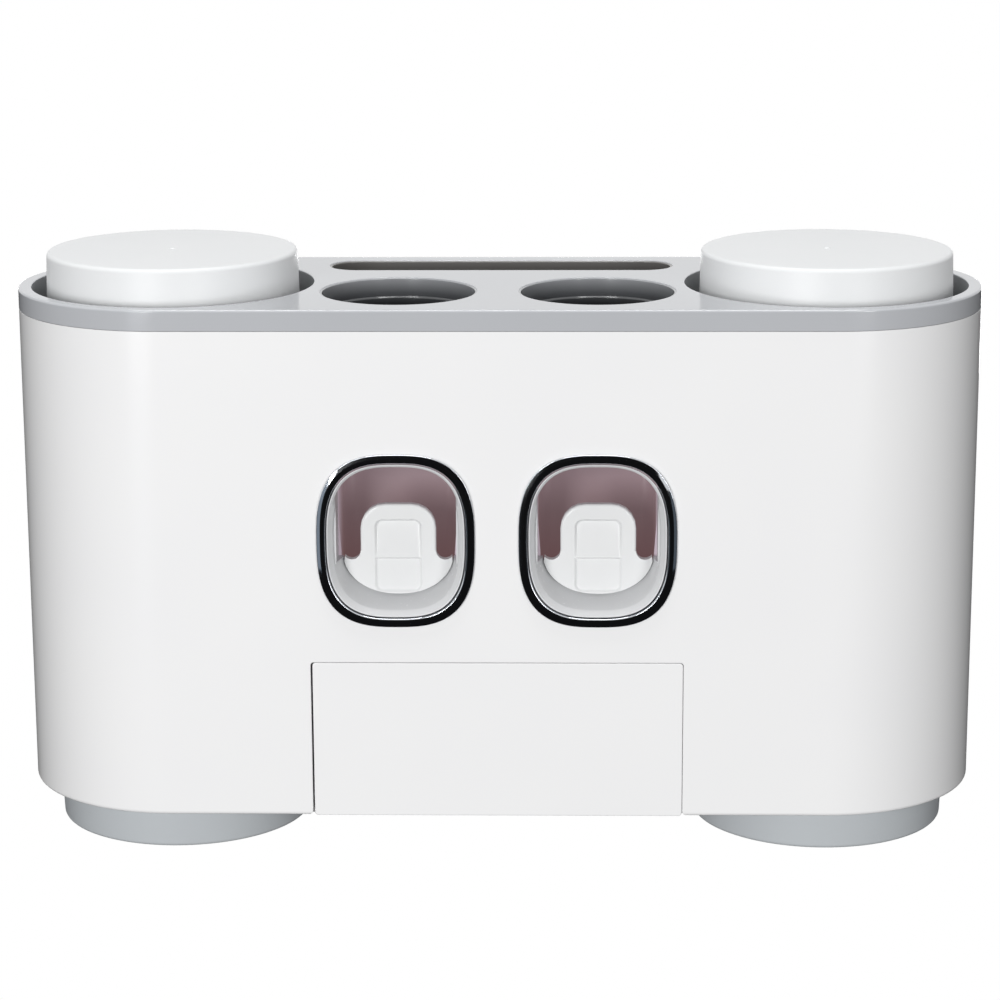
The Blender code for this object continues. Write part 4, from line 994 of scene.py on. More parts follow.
@dataclass
class Housing:
    """The front shell with its openings, and the grey deck on top.

    Args:
        finishes: the materials.
        wall: of the shell.
        floor: thickness of the shell's floor.
        floor_fillet: radius inside, round the floor.
        foot_round: radius along the shell's lower edge.
        deck_thickness: of the deck's plate.
        deck_round: radius along the deck's upper edge.
        deck_fillet: radius along the plate's under side.
        hole_round: radius on the rims of the deck's holes.
        tube_round: radius on the rims of the tube holes.
        cut_round: radius on the edges of the shell's openings.
        seam: between the shell and the deck's band.
        window_lap: how far a ring laps over its window.
        hair_gap: over and to the right of the drawer's front.
        left_gap: to its left.
        gap_corner: radius of the shell's lower corners beside the drawer.
        gap_top_corner: radius of the drawer gap's upper corners.
        gap_wing: how far the gap's lower corners sweep out under the shell.
        notch: radius of the finger notch.
    """

    finishes: Finishes
    wall: float = 2.2 * MM
    floor: float = 2.0 * MM
    floor_fillet: float = 0.8 * MM
    foot_round: float = 1.2 * MM
    deck_thickness: float = 2.5 * MM
    deck_round: float = 0.7 * MM
    deck_fillet: float = 0.4 * MM
    hole_round: float = 0.35 * MM
    tube_round: float = 0.3 * MM
    cut_round: float = 0.25 * MM
    seam: float = 0.1 * MM
    window_lap: float = 0.8 * MM
    hair_gap: float = 0.12 * MM
    left_gap: float = 0.5 * MM
    gap_corner: float = 1.5 * MM
    gap_top_corner: float = 1.0 * MM
    gap_wing: float = 4.0 * MM
    notch: float = 12.0 * MM

    def __post_init__(self) -> None:
        """Reads the housing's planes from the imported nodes."""
        low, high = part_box("front_shell")
        deck_low, deck_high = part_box("top_deck")
        self.front_y, self.back_y = deck_low.y, deck_high.y
        self.low_z, self.shell_top_z = low.z, high.z
        self.floor_z = low.z + self.floor
        self.band_low_z, self.top_z = high.z + self.seam, deck_high.z
        self.radius = (self.back_y - self.front_y) / 2
        self.half_length = deck_high.x - self.radius
        self.mid_y = (self.front_y + self.back_y) / 2

    def build(self) -> None:
        """Builds and dresses the shell and the deck."""
        fit(self.shell(), self.finishes.white_abs, Slot.WHITE_ABS, "housing", "front_shell")
        fit(self.deck(), self.finishes.grey_abs, Slot.GREY_ABS, "housing", "top_deck")

    def ring(self, inset: float, z: float) -> Ring:
        """The housing's outline drawn in by an inset."""
        return stadium(self.radius - inset, self.half_length, self.mid_y, z)

    def shell(self) -> bpy.types.Object:
        """The white shell with its windows, foot holes, drawer gap and finger notch.

        Returns:
            The shell.
        """
        outer = filleted([
            (self.radius / 2, self.low_z, 0), (0, self.low_z, self.foot_round),
            (0, self.shell_top_z, self.seam), (self.wall, self.shell_top_z, self.seam),
            (self.wall, self.floor_z, self.floor_fillet), (self.radius / 2, self.floor_z, 0),
        ])
        shell = loft("housing_shell", [self.ring(inset, z) for inset, z in outer])
        cutters = [self.back_gap(), self.drawer_gap(), self.finger_notch()]
        for side in Side:
            cutters.append(self.window(side))
            cutters.append(self.foot_hole(side))
        return carve(shell, cutters)

    def back_gap(self) -> bpy.types.Object:
        """The opening that the back panel closes.

        Returns:
            Its cutter.
        """
        low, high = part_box("back_panel")
        return block("back_gap", Vector((low.x - SEAT, high.y - self.wall - SEAT, self.floor_z)),
                     Vector((high.x + SEAT, high.y + OVERRUN, high.z + OVERRUN)))

    def drawer_gap(self) -> bpy.types.Object:
        """The opening that the drawer's front fills, its edges and lower corners rounded.

        Returns:
            Its cutter.
        """
        low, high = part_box("drawer_front")
        under = low.z - OVERRUN
        rings = []
        for grow, y in lip_steps(self.cut_round, low.y, high.y + SEAT):
            left, right = low.x - self.left_gap - grow, high.x + self.hair_gap + grow
            top = high.z + self.hair_gap + grow
            outline = filleted([
                (left - self.gap_wing, low.z, 0), (left, low.z, self.gap_corner),
                (left, top, self.gap_top_corner), (right, top, self.gap_top_corner),
                (right, low.z, self.gap_corner), (right + self.gap_wing, low.z, 0),
                (right + self.gap_wing, under, 0), (left - self.gap_wing, under, 0),
            ], closed=True)
            rings.append([(x, y, z) for x, z in outline])
        return loft("drawer_gap", rings)

    def floor_steps(self) -> list[Point]:
        """How a hole through the floor widens to its rounded rim."""
        return lip_steps(self.cut_round, self.low_z, self.floor_z + OVERRUN)

    def finger_notch(self) -> bpy.types.Object:
        """The cutter of the half-round notch in the floor behind the drawer's front."""
        back_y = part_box("drawer_front")[1].y
        return rimmed_hole("finger_notch", self.notch, self.floor_steps(),
                           Vector((0, back_y, 0)))

    def foot_hole(self, side: Side) -> bpy.types.Object:
        """The cutter of the floor's hole for a well's foot."""
        return rimmed_hole(f"foot_hole_{side.label}", FOOT_RADIUS + FOOT_PLAY, self.floor_steps(),
                           Vector((side.value * self.half_length, self.mid_y, 0)))

    def window(self, side: Side) -> bpy.types.Object:
        """The cutter of a window, under its ring.

        Args:
            side: which window.

        Returns:
            The cutter.
        """
        outline = WindowOutline.read(side)
        depths = (self.front_y - OVERRUN, self.front_y + self.wall + OVERRUN)
        return loft(f"window_{side.label}", [outline.ring(self.window_lap, y) for y in depths])

    def deck(self) -> bpy.types.Object:
        """The grey deck: rim band, plate and the mouths of wells, tubes and slot.

        Returns:
            The deck.
        """
        under_z = self.top_z - self.deck_thickness
        outer = filleted([
            (self.radius / 2, under_z, 0), (self.wall, under_z, self.deck_fillet),
            (self.wall, self.band_low_z, self.seam), (0, self.band_low_z, self.seam),
            (0, self.top_z, self.deck_round), (self.radius / 2, self.top_z, 0),
        ])
        deck = loft("deck", [self.ring(inset, z) for inset, z in outer])
        lip = lip_steps(self.hole_round, self.top_z, under_z - OVERRUN)
        tube_lip = lip_steps(self.tube_round, self.top_z, under_z - OVERRUN)
        cutters = []
        for side in Side:
            for node, flange, steps in ((f"cup_well_{side.label}", CUP_FLANGE, lip),
                                        (f"tube_well_{side.label}", TUBE_FLANGE, tube_lip)):
                low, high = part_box(node)
                cutters.append(rimmed_hole(f"{node}_mouth", (high.x - low.x) / 2 - flange, steps,
                                           plan_centre(low, high)))
        radius, straight, centre_y = slot_plan()
        cutters.append(loft("slot_mouth", [stadium(radius + grow, straight, centre_y, z)
                                           for grow, z in lip]))
        return carve(deck, cutters)


def slot_plan() -> tuple[float, float, float]:
    """The brush slot's plan inside its pocket's flange.

    Returns:
        Its end radius, half its straight length and its centre in depth.
    """
    low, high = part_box("brush_pocket")
    radius = (high.y - low.y) / 2 - SLOT_FLANGE
    return radius, high.x - SLOT_FLANGE - radius, (low.y + high.y) / 2


@dataclass(frozen=True)
class WindowOutline:
    """The rounded outline of a squeezer window, as a superellipse.

    Args:
        x: the window's centre across.
        z: the window's centre up.
        half_width: of the ring's outer edge.
        half_height: of the ring's outer edge.
        power: how square the outline is.
    """

    x: float
    z: float
    half_width: float
    half_height: float
    power: float = 2.85

    @classmethod
    def read(cls, side: Side) -> "WindowOutline":
        """Reads the outline from a side's packed ring."""
        low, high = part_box(f"chrome_ring_{side.label}")
        return cls((low.x + high.x) / 2, (low.z + high.z) / 2, (high.x - low.x) / 2,
                   (high.z - low.z) / 2)

    def ring(self, inset: float, y: float) -> Ring:
        """The outline drawn in by an inset, at a depth."""
        return oval(Vector((self.x, y, self.z)), self.half_width - inset,
                    self.half_height - inset, self.half_height - inset, self.power)


@dataclass
class CupStation:
    """A tumbler, upside down in its well, and the sleeve that lines the well, with painted shade
    darkening it downwards.

    Args:
        finishes: the materials.
        side: which end of the housing.
        wall: of the tumbler.
        base: thickness of its base.
        shoulder: radius round its base.
        rim_round: radius on both sides of its rim.
        draft: how much its base is narrower than its rim.
        nub: radius of the moulding nub on its base.
        nub_top: radius of the nub's flat top.
        nub_height: how far that stands up.
        well_wall: of the well.
        play: between the rim and the well.
        opening: the well's radius at the deck.
        mouth_round: radius on the sleeve's upper edge.
        ledge_round: radii at the ledge that the rim stands on.
        foot_fillet: radius inside the foot.
        foot_round: radius under the foot.
        collar: width of the collar on the shell's floor.
        collar_height: its thickness.
        collar_lift: its place above the shell's lowest edge.
        drains: holes in the foot.
        drain_circle: radius of the circle that they stand on.
        drain: their radius.
    """

    finishes: Finishes
    side: Side
    wall: float = 2.0 * MM
    base: float = 2.6 * MM
    shoulder: float = 1.3 * MM
    rim_round: float = 0.9 * MM
    draft: float = 2.3 * MM
    nub: float = 1.1 * MM
    nub_top: float = 0.77 * MM
    nub_height: float = 0.3 * MM
    well_wall: float = 1.3 * MM
    play: float = 1.2 * MM
    opening: float = 42.1 * MM
    mouth_round: float = 0.5 * MM
    ledge_round: float = 0.5 * MM
    foot_fillet: float = 1.0 * MM
    foot_round: float = 1.2 * MM
    collar: float = 2.8 * MM
    collar_height: float = 1.6 * MM
    collar_lift: float = 2.3 * MM
    drains: int = 6
    drain_circle: float = 20.0 * MM
    drain: float = 2.5 * MM

    def __post_init__(self) -> None:
        """Reads the station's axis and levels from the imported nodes."""
        low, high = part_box(f"tumbler_{self.side.label}")
        self.rim_z, self.top_z = low.z, high.z - self.nub_height
        self.rim_radius = (high.x - low.x) / 2
        self.centre = plan_centre(low, high)
        low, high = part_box(f"cup_well_{self.side.label}")
        self.foot_z, self.deck_z = low.z, high.z
        self.mouth = (high.x - low.x) / 2 - CUP_FLANGE
        self.barrel, self.ledge_z = self.rim_radius + self.play, self.rim_z - SEAT
        # The radius where the well ends and the sleeve starts, on the taper from ledge to deck
        self.sleeve_z = self.deck_z - SLEEVE_DEPTH
        share = (self.sleeve_z - self.ledge_z) / (self.deck_z - self.ledge_z)
        self.joint = self.barrel + (self.opening - self.barrel) * share

    def build(self) -> None:
        """Builds and dresses the tumbler, its well and the sleeve."""
        label = self.side.label
        fit(self.tumbler(), self.finishes.white_pp, Slot.WHITE_PP, f"tumbler_{label}",
            f"tumbler_{label}")
        fit(self.well(), self.finishes.grey_pp, Slot.GREY_PP, "housing", f"cup_well_{label}")
        fit(self.sleeve(), self.finishes.sleeve_abs, Slot.GREY_PP, "housing")

    def tumbler(self) -> bpy.types.Object:
        """The tumbler: a soft shoulder, drafted sides and a rounded rim.

        Returns:
            The tumbler.
        """
        outer = self.rim_radius - self.draft
        base_z = self.top_z - self.base
        profile = filleted([
            (0, self.top_z + self.nub_height, 0), (self.nub_top, self.top_z + self.nub_height, 0),
            (self.nub, self.top_z, 0), (outer, self.top_z, self.shoulder),
            (self.rim_radius, self.rim_z, self.rim_round),
            (self.rim_radius - self.wall, self.rim_z, self.rim_round),
            (outer - self.wall, base_z, self.shoulder / 2), (0, base_z, 0),
        ])
        return turned(f"rinse_tumbler_{self.side.label}", profile, self.centre)

    def sleeve(self) -> bpy.types.Object:
        """The well's sleeve, from its foot part up to the deck's hole; its finish paints shade
        darkening downwards.

        Returns:
            The sleeve.
        """
        wall, lip = self.well_wall, self.mouth - HAIRLINE
        brim_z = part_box("top_deck")[1].z - BRIM_DROP
        profile = filleted([
            (self.joint, self.sleeve_z, 0), (self.opening, brim_z, self.mouth_round),
            (lip, brim_z, 0), (lip, self.deck_z, 0), (self.opening + wall, self.deck_z, 0),
            (self.joint + wall, self.sleeve_z, 0),
        ], closed=True)
        return turned(f"well_sleeve_{self.side.label}", profile, self.centre, closed=True)

    def well(self) -> bpy.types.Object:
        """The tapered well with its ledge, collar and drained foot.

        Returns:
            The well.
        """
        foot_z, ledge_z, wall = self.foot_z, self.ledge_z, self.well_wall
        collar_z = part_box("front_shell")[0].z + self.collar_lift
        collar_top = collar_z + self.collar_height
        neck = FOOT_RADIUS + FOOT_PLAY
        profile = filleted([
            (0, foot_z + wall, 0), (FOOT_RADIUS - wall, foot_z + wall, self.foot_fillet),
            (neck - wall, ledge_z, self.ledge_round), (self.barrel, ledge_z, self.ledge_round),
            (self.joint, self.sleeve_z, 0), (self.joint + wall, self.sleeve_z, 0),
            (self.barrel + wall, ledge_z - wall, self.ledge_round),
            (neck, ledge_z - wall, self.ledge_round),
            (neck, collar_top, 0), (neck + self.collar, collar_top, 0),
            (neck + self.collar, collar_z, 0), (neck, collar_z, 0),
            (FOOT_RADIUS, foot_z, self.foot_round), (0, foot_z, 0),
        ])
        well = turned(f"well_{self.side.label}", profile, self.centre)
        drains = []
        for i in range(self.drains):
            angle = 2 * math.pi * i / self.drains
            way = Vector((math.cos(angle), math.sin(angle), 0))
            spot = self.centre + way * self.drain_circle + Vector((0, 0, foot_z))
            drains.append(upright_hole(f"drain_{i}", spot, wall, self.drain, HOLE_STEPS))
        return carve(well, drains)


@dataclass
class Squeezer:
    """A squeezer's window: chrome ring, white bowl and push lever.

    Args:
        finishes: the materials.
        side: which window.
        band: width of the chrome ring.
        ring_round: radius on its outer edge.
        inner_round: radius on its inner edge.
        face_round: radius along the middle of its face.
        crown: how far the middle of its face stands proud of the inner edge.
        outer_crown: how far it stands proud of the outer edge.
        neck_wall: wall of the ring's neck.
        inset: from the ring's edge to the bowl.
        wall: of the bowl.
        brim: width of the bowl's flat brim.
        brim_height: height of its outer side.
        brim_edge: radius on its outer edge.
        brim_round: radius where the brim turns into the mouth.
        flare: how much the bowl's mouth is wider than its throat.
        flare_depth: depth of that mouth.
        flare_round: radius where it turns into the bowl.
        taper: how much the bowl narrows from there to its dish.
        dish_edge: depth from the mouth to where the dish starts.
        dish_bend: how early the dish falls away to the lever; one is straight.
        flange: width of the bowl's flange behind the shell.
        flange_depth: thickness of that flange.
        play: between lever and bowl.
        throat: half the width of the view into the chamber.
        view_drop: how far below the window's top that view ends.
        view_corner: radius of its upper corners.
        arch: depth of the bowl's lip over the view.
        chamfer: width of the slope on that lip's sides.
        frame_setback: how far the frame of the view stands behind the flange's front.
        edge: radius on the bowl's cut edges.
    """

    finishes: Finishes
    side: Side
    band: float = 2.6 * MM
    ring_round: float = 0.25 * MM
    inner_round: float = 0.45 * MM
    face_round: float = 4.0 * MM
    crown: float = 0.08 * MM
    outer_crown: float = 0.19 * MM
    neck_wall: float = 1.4 * MM
    inset: float = 2.95 * MM
    wall: float = 1.3 * MM
    brim: float = 0.3 * MM
    brim_height: float = 0.5 * MM
    brim_edge: float = 0.2 * MM
    brim_round: float = 0.3 * MM
    flare: float = 1.7 * MM
    flare_depth: float = 2.0 * MM
    flare_round: float = 1.2 * MM
    taper: float = 0.3 * MM
    dish_edge: float = 1.5 * MM
    dish_bend: float = 0.8
    flange: float = 1.0 * MM
    flange_depth: float = 1.4 * MM
    play: float = 0.03 * MM
    throat: float = 17.5 * MM
    view_drop: float = 1.6 * MM
    view_corner: float = 6.0 * MM
    arch: float = 0.8 * MM
    chamfer: float = 0.6 * MM
    frame_setback: float = 0.1 * MM
    edge: float = 0.35 * MM

    def __post_init__(self) -> None:
        """Reads the window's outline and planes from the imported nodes."""
        label = self.side.label
        self.outline = WindowOutline.read(self.side)
        low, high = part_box(f"chrome_ring_{label}")
        self.ring_front, self.shell_inner = low.y, high.y
        self.shell_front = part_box("front_shell")[0].y
        low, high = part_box(f"window_bezel_{label}")
        self.lip_y, self.back_y = low.y, high.y
        self.lever = PushLever(self.side)

    def build(self) -> None:
        """Builds and dresses the ring, the bowl and the lever."""
        label = self.side.label
        fit(self.ring(), self.finishes.chrome, Slot.CHROME, "housing", f"chrome_ring_{label}")
        # The bowl and the lever take greyer copies of the white ABS, painted shade of their recess
        fit(self.bowl(), self.finishes.bowl_abs, Slot.WHITE_ABS, "housing",
            f"window_bezel_{label}")
        fit(self.lever.build(f"push_lever_plate_{label}"), self.finishes.lever_abs,
            Slot.WHITE_ABS, f"lever_{label}", f"push_lever_{label}")

    def ring(self) -> bpy.types.Object:
        """The plated ring with its crowned face and rounded edges.

        Returns:
            The ring.
        """
        seat = self.shell_front - SEAT
        neck = self.band - self.neck_wall
        section = filleted([
            (0, seat, 0), (0, self.ring_front + self.outer_crown, self.ring_round),
            (self.band / 2, self.ring_front, self.face_round),
            (self.band, self.ring_front + self.crown, self.inner_round),
            (self.band, self.shell_inner, 0), (neck, self.shell_inner, 0), (neck, seat, 0),
        ], closed=True)
        rings = [self.outline.ring(inset, y) for inset, y in section]
        return even_normals(loft(f"window_ring_{self.side.label}", rings, closed=True))

    def bowl(self) -> bpy.types.Object:
        """The white bowl: flared mouth, dish round the lever, and a view into the chamber.

        Returns:
            The bowl.
        """
        throat = self.inset + self.flare
        waist = throat + self.taper
        flare_y = self.lip_y + self.flare_depth
        dish_y, hole_y = flare_y + self.dish_edge, self.back_y - self.wall
        mouth = filleted([
            (self.inset, self.lip_y + self.brim_height, 0),
            (self.inset, self.lip_y, self.brim_edge),
            (self.inset + self.brim, self.lip_y, self.brim_round),
            (throat, flare_y, self.flare_round), (waist, dish_y, 0),
        ])
        rings = [self.outline.ring(inset, y) for inset, y in mouth]
        hole = self.lever.gap_ring(self.play, self.outline.half_height - waist, hole_y)
        edge = rings[-1]
        for i in range(1, DISH_STEPS + 1):
            share = i / DISH_STEPS
            rings.append(between(edge, hole, share,
                                 dish_y + (hole_y - dish_y) * share ** self.dish_bend))
        rings.append(between(hole, hole, 0, self.back_y))
        flange_y = self.shell_inner + SEAT
        flange_back = flange_y + self.flange_depth
        for inset, y in ((waist - self.wall, self.back_y), (waist - self.wall, dish_y),
                         (throat - self.wall, flange_back),
                         (self.inset - self.flange, flange_back),
                         (self.inset - self.flange, flange_y), (self.inset, flange_y)):
            rings.append(self.outline.ring(inset, y))
        bowl = loft(f"window_bowl_{self.side.label}", rings, closed=True)
        frame = self.tunnel("frame", self.throat + self.wall, flange_y + self.frame_setback,
                            self.back_y)
        view = self.tunnel("view", self.throat, self.lip_y + self.arch, self.back_y + OVERRUN,
                           self.chamfer)
        return carve(bowl, [view], [frame], self.edge)

    def tunnel(self, name: str, half: float, front: float, back: float,
               chamfer: float = 0.0) -> bpy.types.Object:
        """A straight-sided block over the lever's ledge, its upper corners rounded.

        Args:
            name: the shape's name.
            half: half its width; its roof stands as much higher as it is wider than the view.
            front: depth of its face.
            back: depth of its back.
            chamfer: how much wider its face is.

        Returns:
            The block.
        """
        up = half - self.throat + self.outline.half_height - self.view_drop
        rings = []
        for y, wider in ((front, chamfer), (front + 2 * chamfer + SEAT, 0), (back, 0)):
            side = half + wider
            outline = filleted([
                (-side, self.lever.ledge, 0), (side, self.lever.ledge, 0),
                (side, up, self.view_corner), (-side, up, self.view_corner),
            ], closed=True)
            rings.append([(self.outline.x + u, y, self.outline.z + w) for u, w in outline])
        return loft(name, rings)


@dataclass
class TubeFunnel:
    """The stepped funnel that a paste tube stands in, under the deck's hole.

    Args:
        finishes: the materials.
        side: which half of the holder.
        wall: of the funnel.
        collar: width of the rounded collar inside the deck's hole.
        collar_round: radius on that collar.
        step_depth: from the flange down to the step.
        step: width and height of the step.
        barrel_depth: from the flange down to where the funnel narrows.
        barrel_round: radius where it narrows, inside.
        outer_round: the same on the outside.
        neck: the neck's inner radius.
        neck_height: of the neck.
        neck_round: radius where the funnel turns into the neck.
        flange_depth: thickness of the flange.
        shoulder: radius round the outside, under the step.
        fillet: radius where the step and the flange spring from the wall.
        edge: radius on the free edges.
    """

    finishes: Finishes
    side: Side
    wall: float = 1.4 * MM
    collar: float = 0.6 * MM
    collar_round: float = 0.57 * MM
    step_depth: float = 3.3 * MM
    step: float = 0.4 * MM
    barrel_depth: float = 14.2 * MM
    barrel_round: float = 5.0 * MM
    outer_round: float = 4.0 * MM
    neck: float = 7.2 * MM
    neck_height: float = 7.0 * MM
    neck_round: float = 1.2 * MM
    flange_depth: float = 1.6 * MM
    shoulder: float = 1.0 * MM
    fillet: float = 0.4 * MM
    edge: float = 0.3 * MM

    def build(self) -> None:
        """Builds and dresses the funnel."""
        node = f"tube_well_{self.side.label}"
        low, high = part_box(node)
        rim, wall = (high.x - low.x) / 2, self.wall
        mouth = rim - TUBE_FLANGE
        lip, inner, outer = mouth - HAIRLINE, mouth - self.collar, mouth + wall
        barrel, neck = inner - self.step, self.neck
        brim_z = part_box("top_deck")[1].z - BRIM_DROP
        step_z, barrel_z = high.z - self.step_depth, high.z - self.barrel_depth
        flange_z, neck_z = high.z - self.flange_depth, low.z + self.neck_height
        profile = filleted([
            (neck, low.z, self.edge), (neck, neck_z, self.neck_round),
            (barrel, barrel_z, self.barrel_round), (barrel, step_z, self.fillet),
            (inner, step_z + self.step, self.edge), (inner, brim_z, self.collar_round),
            (lip, brim_z, 0), (lip, high.z, 0), (rim, high.z, 0), (rim, flange_z, self.edge),
            (outer, flange_z, self.fillet), (outer, step_z - wall, self.shoulder),
            (barrel + wall, barrel_z - wall / 2, self.outer_round),
            (neck + wall, neck_z - wall / 2, self.neck_round), (neck + wall, low.z, self.edge),
        ], closed=True)
        funnel = turned(f"tube_funnel_{self.side.label}", profile, plan_centre(low, high),
                        closed=True)
        # The funnel's finish paints shade, darker further down
        fit(funnel, self.finishes.funnel_abs, Slot.GREY_ABS, "housing", node)


@dataclass
class PushLever:
    """The push lever: a round-shouldered tongue on a wider skirt, hinged at its foot.

    Args:
        side: which window it belongs to.
        shift: how far it stands to the right of the window's centre.
        thickness: of its plate.
        tongue: half the tongue's width.
        top: the tongue's top above the centre.
        shoulder: radius of its shoulders.
        tongue_foot: share of the skirt's height over which the tongue's plate reaches down.
        skirt: half the skirt's width.
        skirt_drop: the skirt's height below its own centre.
        skirt_z: the skirt's centre below the window's.
        skirt_power: how square the skirt is.
        skirt_lap: how far the skirt reaches in behind the tongue.
        horn_degrees: how far round its notches the skirt's horns reach.
        edge: radius round the tongue's face.
        skirt_edge: radius round the skirt's face.
        pad: half the width of the pad and the scoop.
        pad_top: top of the scoop.
        pad_bottom: bottom of the pad.
        ledge: where scoop and pad meet.
        pad_corner: their corner radius.
        pad_depth: how deep the pad lies.
        step: height of the step from the ledge down to the pad.
        scoop_depth: how deep the scoop is near its top.
        scoop_fall: share of that depth which it loses on its way down.
        scoop_run: height over which the scoop rises to the ledge.
        relief_round: radius between the relief's sides and its floor.
        relief_margin: how far the relief's cutter stands out round the pad and the scoop.
        grid: spacing of the relief's mesh.
        knuckle: radius of the hinge's knuckle.
        knuckle_half: half its length.
        bore: radius of the hinge's bore.
        bore_half: half the bore cutter's length.
        nose: radius of the round nose that pushes the pump.
        nose_half: half its length.
        nose_lead: how far its centre lies behind the plate.
        nose_z: its height.
    """

    side: Side
    shift: float = 0.25 * MM
    thickness: float = 2.6 * MM
    tongue: float = 11.1 * MM
    top: float = 8.6 * MM
    shoulder: float = 7.3 * MM
    tongue_foot: float = 0.6
    skirt: float = 16.3 * MM
    skirt_drop: float = 13.0 * MM
    skirt_z: float = -5.5 * MM
    skirt_power: float = 2.15
    skirt_lap: float = 1.0 * MM
    horn_degrees: float = 38
    edge: float = 0.9 * MM
    skirt_edge: float = 0.08 * MM
    pad: float = 7.1 * MM
    pad_top: float = 4.2 * MM
    pad_bottom: float = -18.2 * MM
    ledge: float = -7.6 * MM
    pad_corner: float = 2.6 * MM
    pad_depth: float = 0.7 * MM
    step: float = 0.4 * MM
    scoop_depth: float = 1.6 * MM
    scoop_fall: float = 0.8
    scoop_run: float = 0.9 * MM
    relief_round: float = 1.0 * MM
    relief_margin: float = 0.6 * MM
    grid: float = 0.2 * MM
    knuckle: float = 2.5 * MM
    knuckle_half: float = 6.0 * MM
    bore: float = 1.8 * MM
    bore_half: float = 8.0 * MM
    nose: float = 2.0 * MM
    nose_half: float = 5.0 * MM
    nose_lead: float = 1.3 * MM
    nose_z: float = 2.0 * MM

    def __post_init__(self) -> None:
        """Reads the lever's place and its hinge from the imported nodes."""
        outline = WindowOutline.read(self.side)
        self.x, self.z = outline.x + self.shift, outline.z
        self.front_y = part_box(f"push_lever_{self.side.label}")[0].y
        self.back_y = self.front_y + self.thickness
        low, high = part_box(f"lever_pin_{self.side.label}")
        self.hinge = Vector((self.x, (low.y + high.y) / 2, (low.z + high.z) / 2))
        self.relief_z = (self.pad_top + self.pad_bottom) / 2
        self.relief_half = (self.pad_top - self.pad_bottom) / 2

    def gap_ring(self, play: float, up: float, y: float) -> Ring:
        """The skirt's outline let out by the play, reaching up into the view.

        Args:
            play: between the skirt and the ring.
            up: the ring's reach above the window's centre.
            y: its depth.

        Returns:
            Points round the ring.
        """
        centre = Vector((self.x, y, self.z + self.skirt_z))
        return oval(centre, self.skirt + play, up - self.skirt_z - SEAT, self.skirt_drop + play,
                    self.skirt_power)

    def skirt_outline(self) -> list[Point]:
        """The skirt's front outline, from the right notch round to the left one and the foot.

        Returns:
            (across, up) points from the window's centre.
        """
        notch = (self.skirt - self.tongue) / 2
        middle = self.tongue + notch
        inside = self.tongue - self.skirt_lap
        points = arc((middle, self.skirt_z), notch, -self.horn_degrees, -180, NOTCH_STEPS)
        points += [(inside, self.skirt_z), (-inside, self.skirt_z)]
        points += arc((-middle, self.skirt_z), notch, 0, self.horn_degrees - 180, NOTCH_STEPS)
        steps = OVAL_STEPS // 2
        for i in range(1, steps):
            across, up = squared(math.pi * (1 + i / steps), self.skirt_power)
            drop = -up * self.skirt_drop
            if drop > notch:
                points.append((across * self.skirt, self.skirt_z - drop))
        return points

    def tongue_outline(self) -> list[Point]:
        """The tongue's front outline, down into the skirt.

        Returns:
            (across, up) points from the window's centre.
        """
        foot = self.skirt_z - self.skirt_drop * self.tongue_foot
        return filleted([
            (-self.tongue, foot, 0), (self.tongue, foot, 0),
            (self.tongue, self.top, self.shoulder), (-self.tongue, self.top, self.shoulder),
        ], closed=True)

    def plate(self, name: str, outline: Sequence[Point], edge: float) -> bpy.types.Object:
        """An upright plate from a front outline, its front edge rounded.

        Args:
            name: the shape's name.
            outline: (across, up) points from the window's centre.
            edge: radius round its face.

        Returns:
            The plate.
        """
        bm = bmesh.new()
        verts = [bm.verts.new((self.x + u, self.back_y, self.z + w)) for u, w in outline]
        grown = bmesh.ops.extrude_face_region(bm, geom=[bm.faces.new(verts)])
        moved = [item for item in grown["geom"] if isinstance(item, bmesh.types.BMVert)]
        bmesh.ops.translate(bm, vec=(0, -self.thickness, 0), verts=moved)
        rim = [side for side in bm.edges
               if all(abs(vert.co.y - self.front_y) < HAIRLINE for vert in side.verts)]
        bmesh.ops.bevel(bm, geom=rim, offset=edge, segments=FILLET_STEPS, profile=0.5,
                        affect="EDGES")
        return piece_from(name, bm)

    def build(self, name: str) -> bpy.types.Object:
        """The lever with its pad, scoop, hinge knuckle and push nose.

        Args:
            name: the piece's name.

        Returns:
            The lever.
        """
        lever = self.plate(name, self.skirt_outline(), self.skirt_edge)
        tongue = self.plate("tongue", self.tongue_outline(), self.edge)
        knuckle = axle("knuckle", self.hinge, self.knuckle_half, self.knuckle)
        nose = axle("nose", Vector((self.x, self.back_y + self.nose_lead, self.nose_z)),
                    self.nose_half, self.nose)
        bore = axle("bore", self.hinge, self.bore_half, self.bore)
        return carve(lever, [self.relief(), bore], [tongue, knuckle, nose])

    def relief(self) -> bpy.types.Object:
        """The shape that the pad and the thumb scoop leave in the lever's face.

        Returns:
            A closed cutter that stands in front of the face and reaches into it.
        """
        wide, tall = self.pad + self.relief_margin, self.relief_half + self.relief_margin
        across_steps, up_steps = round(2 * wide / self.grid), round(2 * tall / self.grid)
        columns = [wide * (2 * i / across_steps - 1) for i in range(across_steps + 1)]
        bm = bmesh.new()
        rows = []
        for j in range(up_steps + 1):
            w = self.relief_z + tall * (2 * j / up_steps - 1)
            rows.append([
                bm.verts.new((self.x + u, self.front_y + self.depth(u, w), self.z + w))
                for u in columns
            ])
        for lower, upper in zip(rows, rows[1:]):
            for i in range(across_steps):
                bm.faces.new((lower[i], lower[i + 1], upper[i + 1], upper[i]))
        rim = [edge for edge in bm.edges if edge.is_boundary]
        grown = bmesh.ops.extrude_edge_only(bm, edges=rim)
        for item in grown["geom"]:
            if isinstance(item, bmesh.types.BMVert):
                item.co.y = self.front_y - OVERRUN
        bmesh.ops.contextual_create(bm, geom=[edge for edge in bm.edges if edge.is_boundary])
        return piece_from("relief", bm)

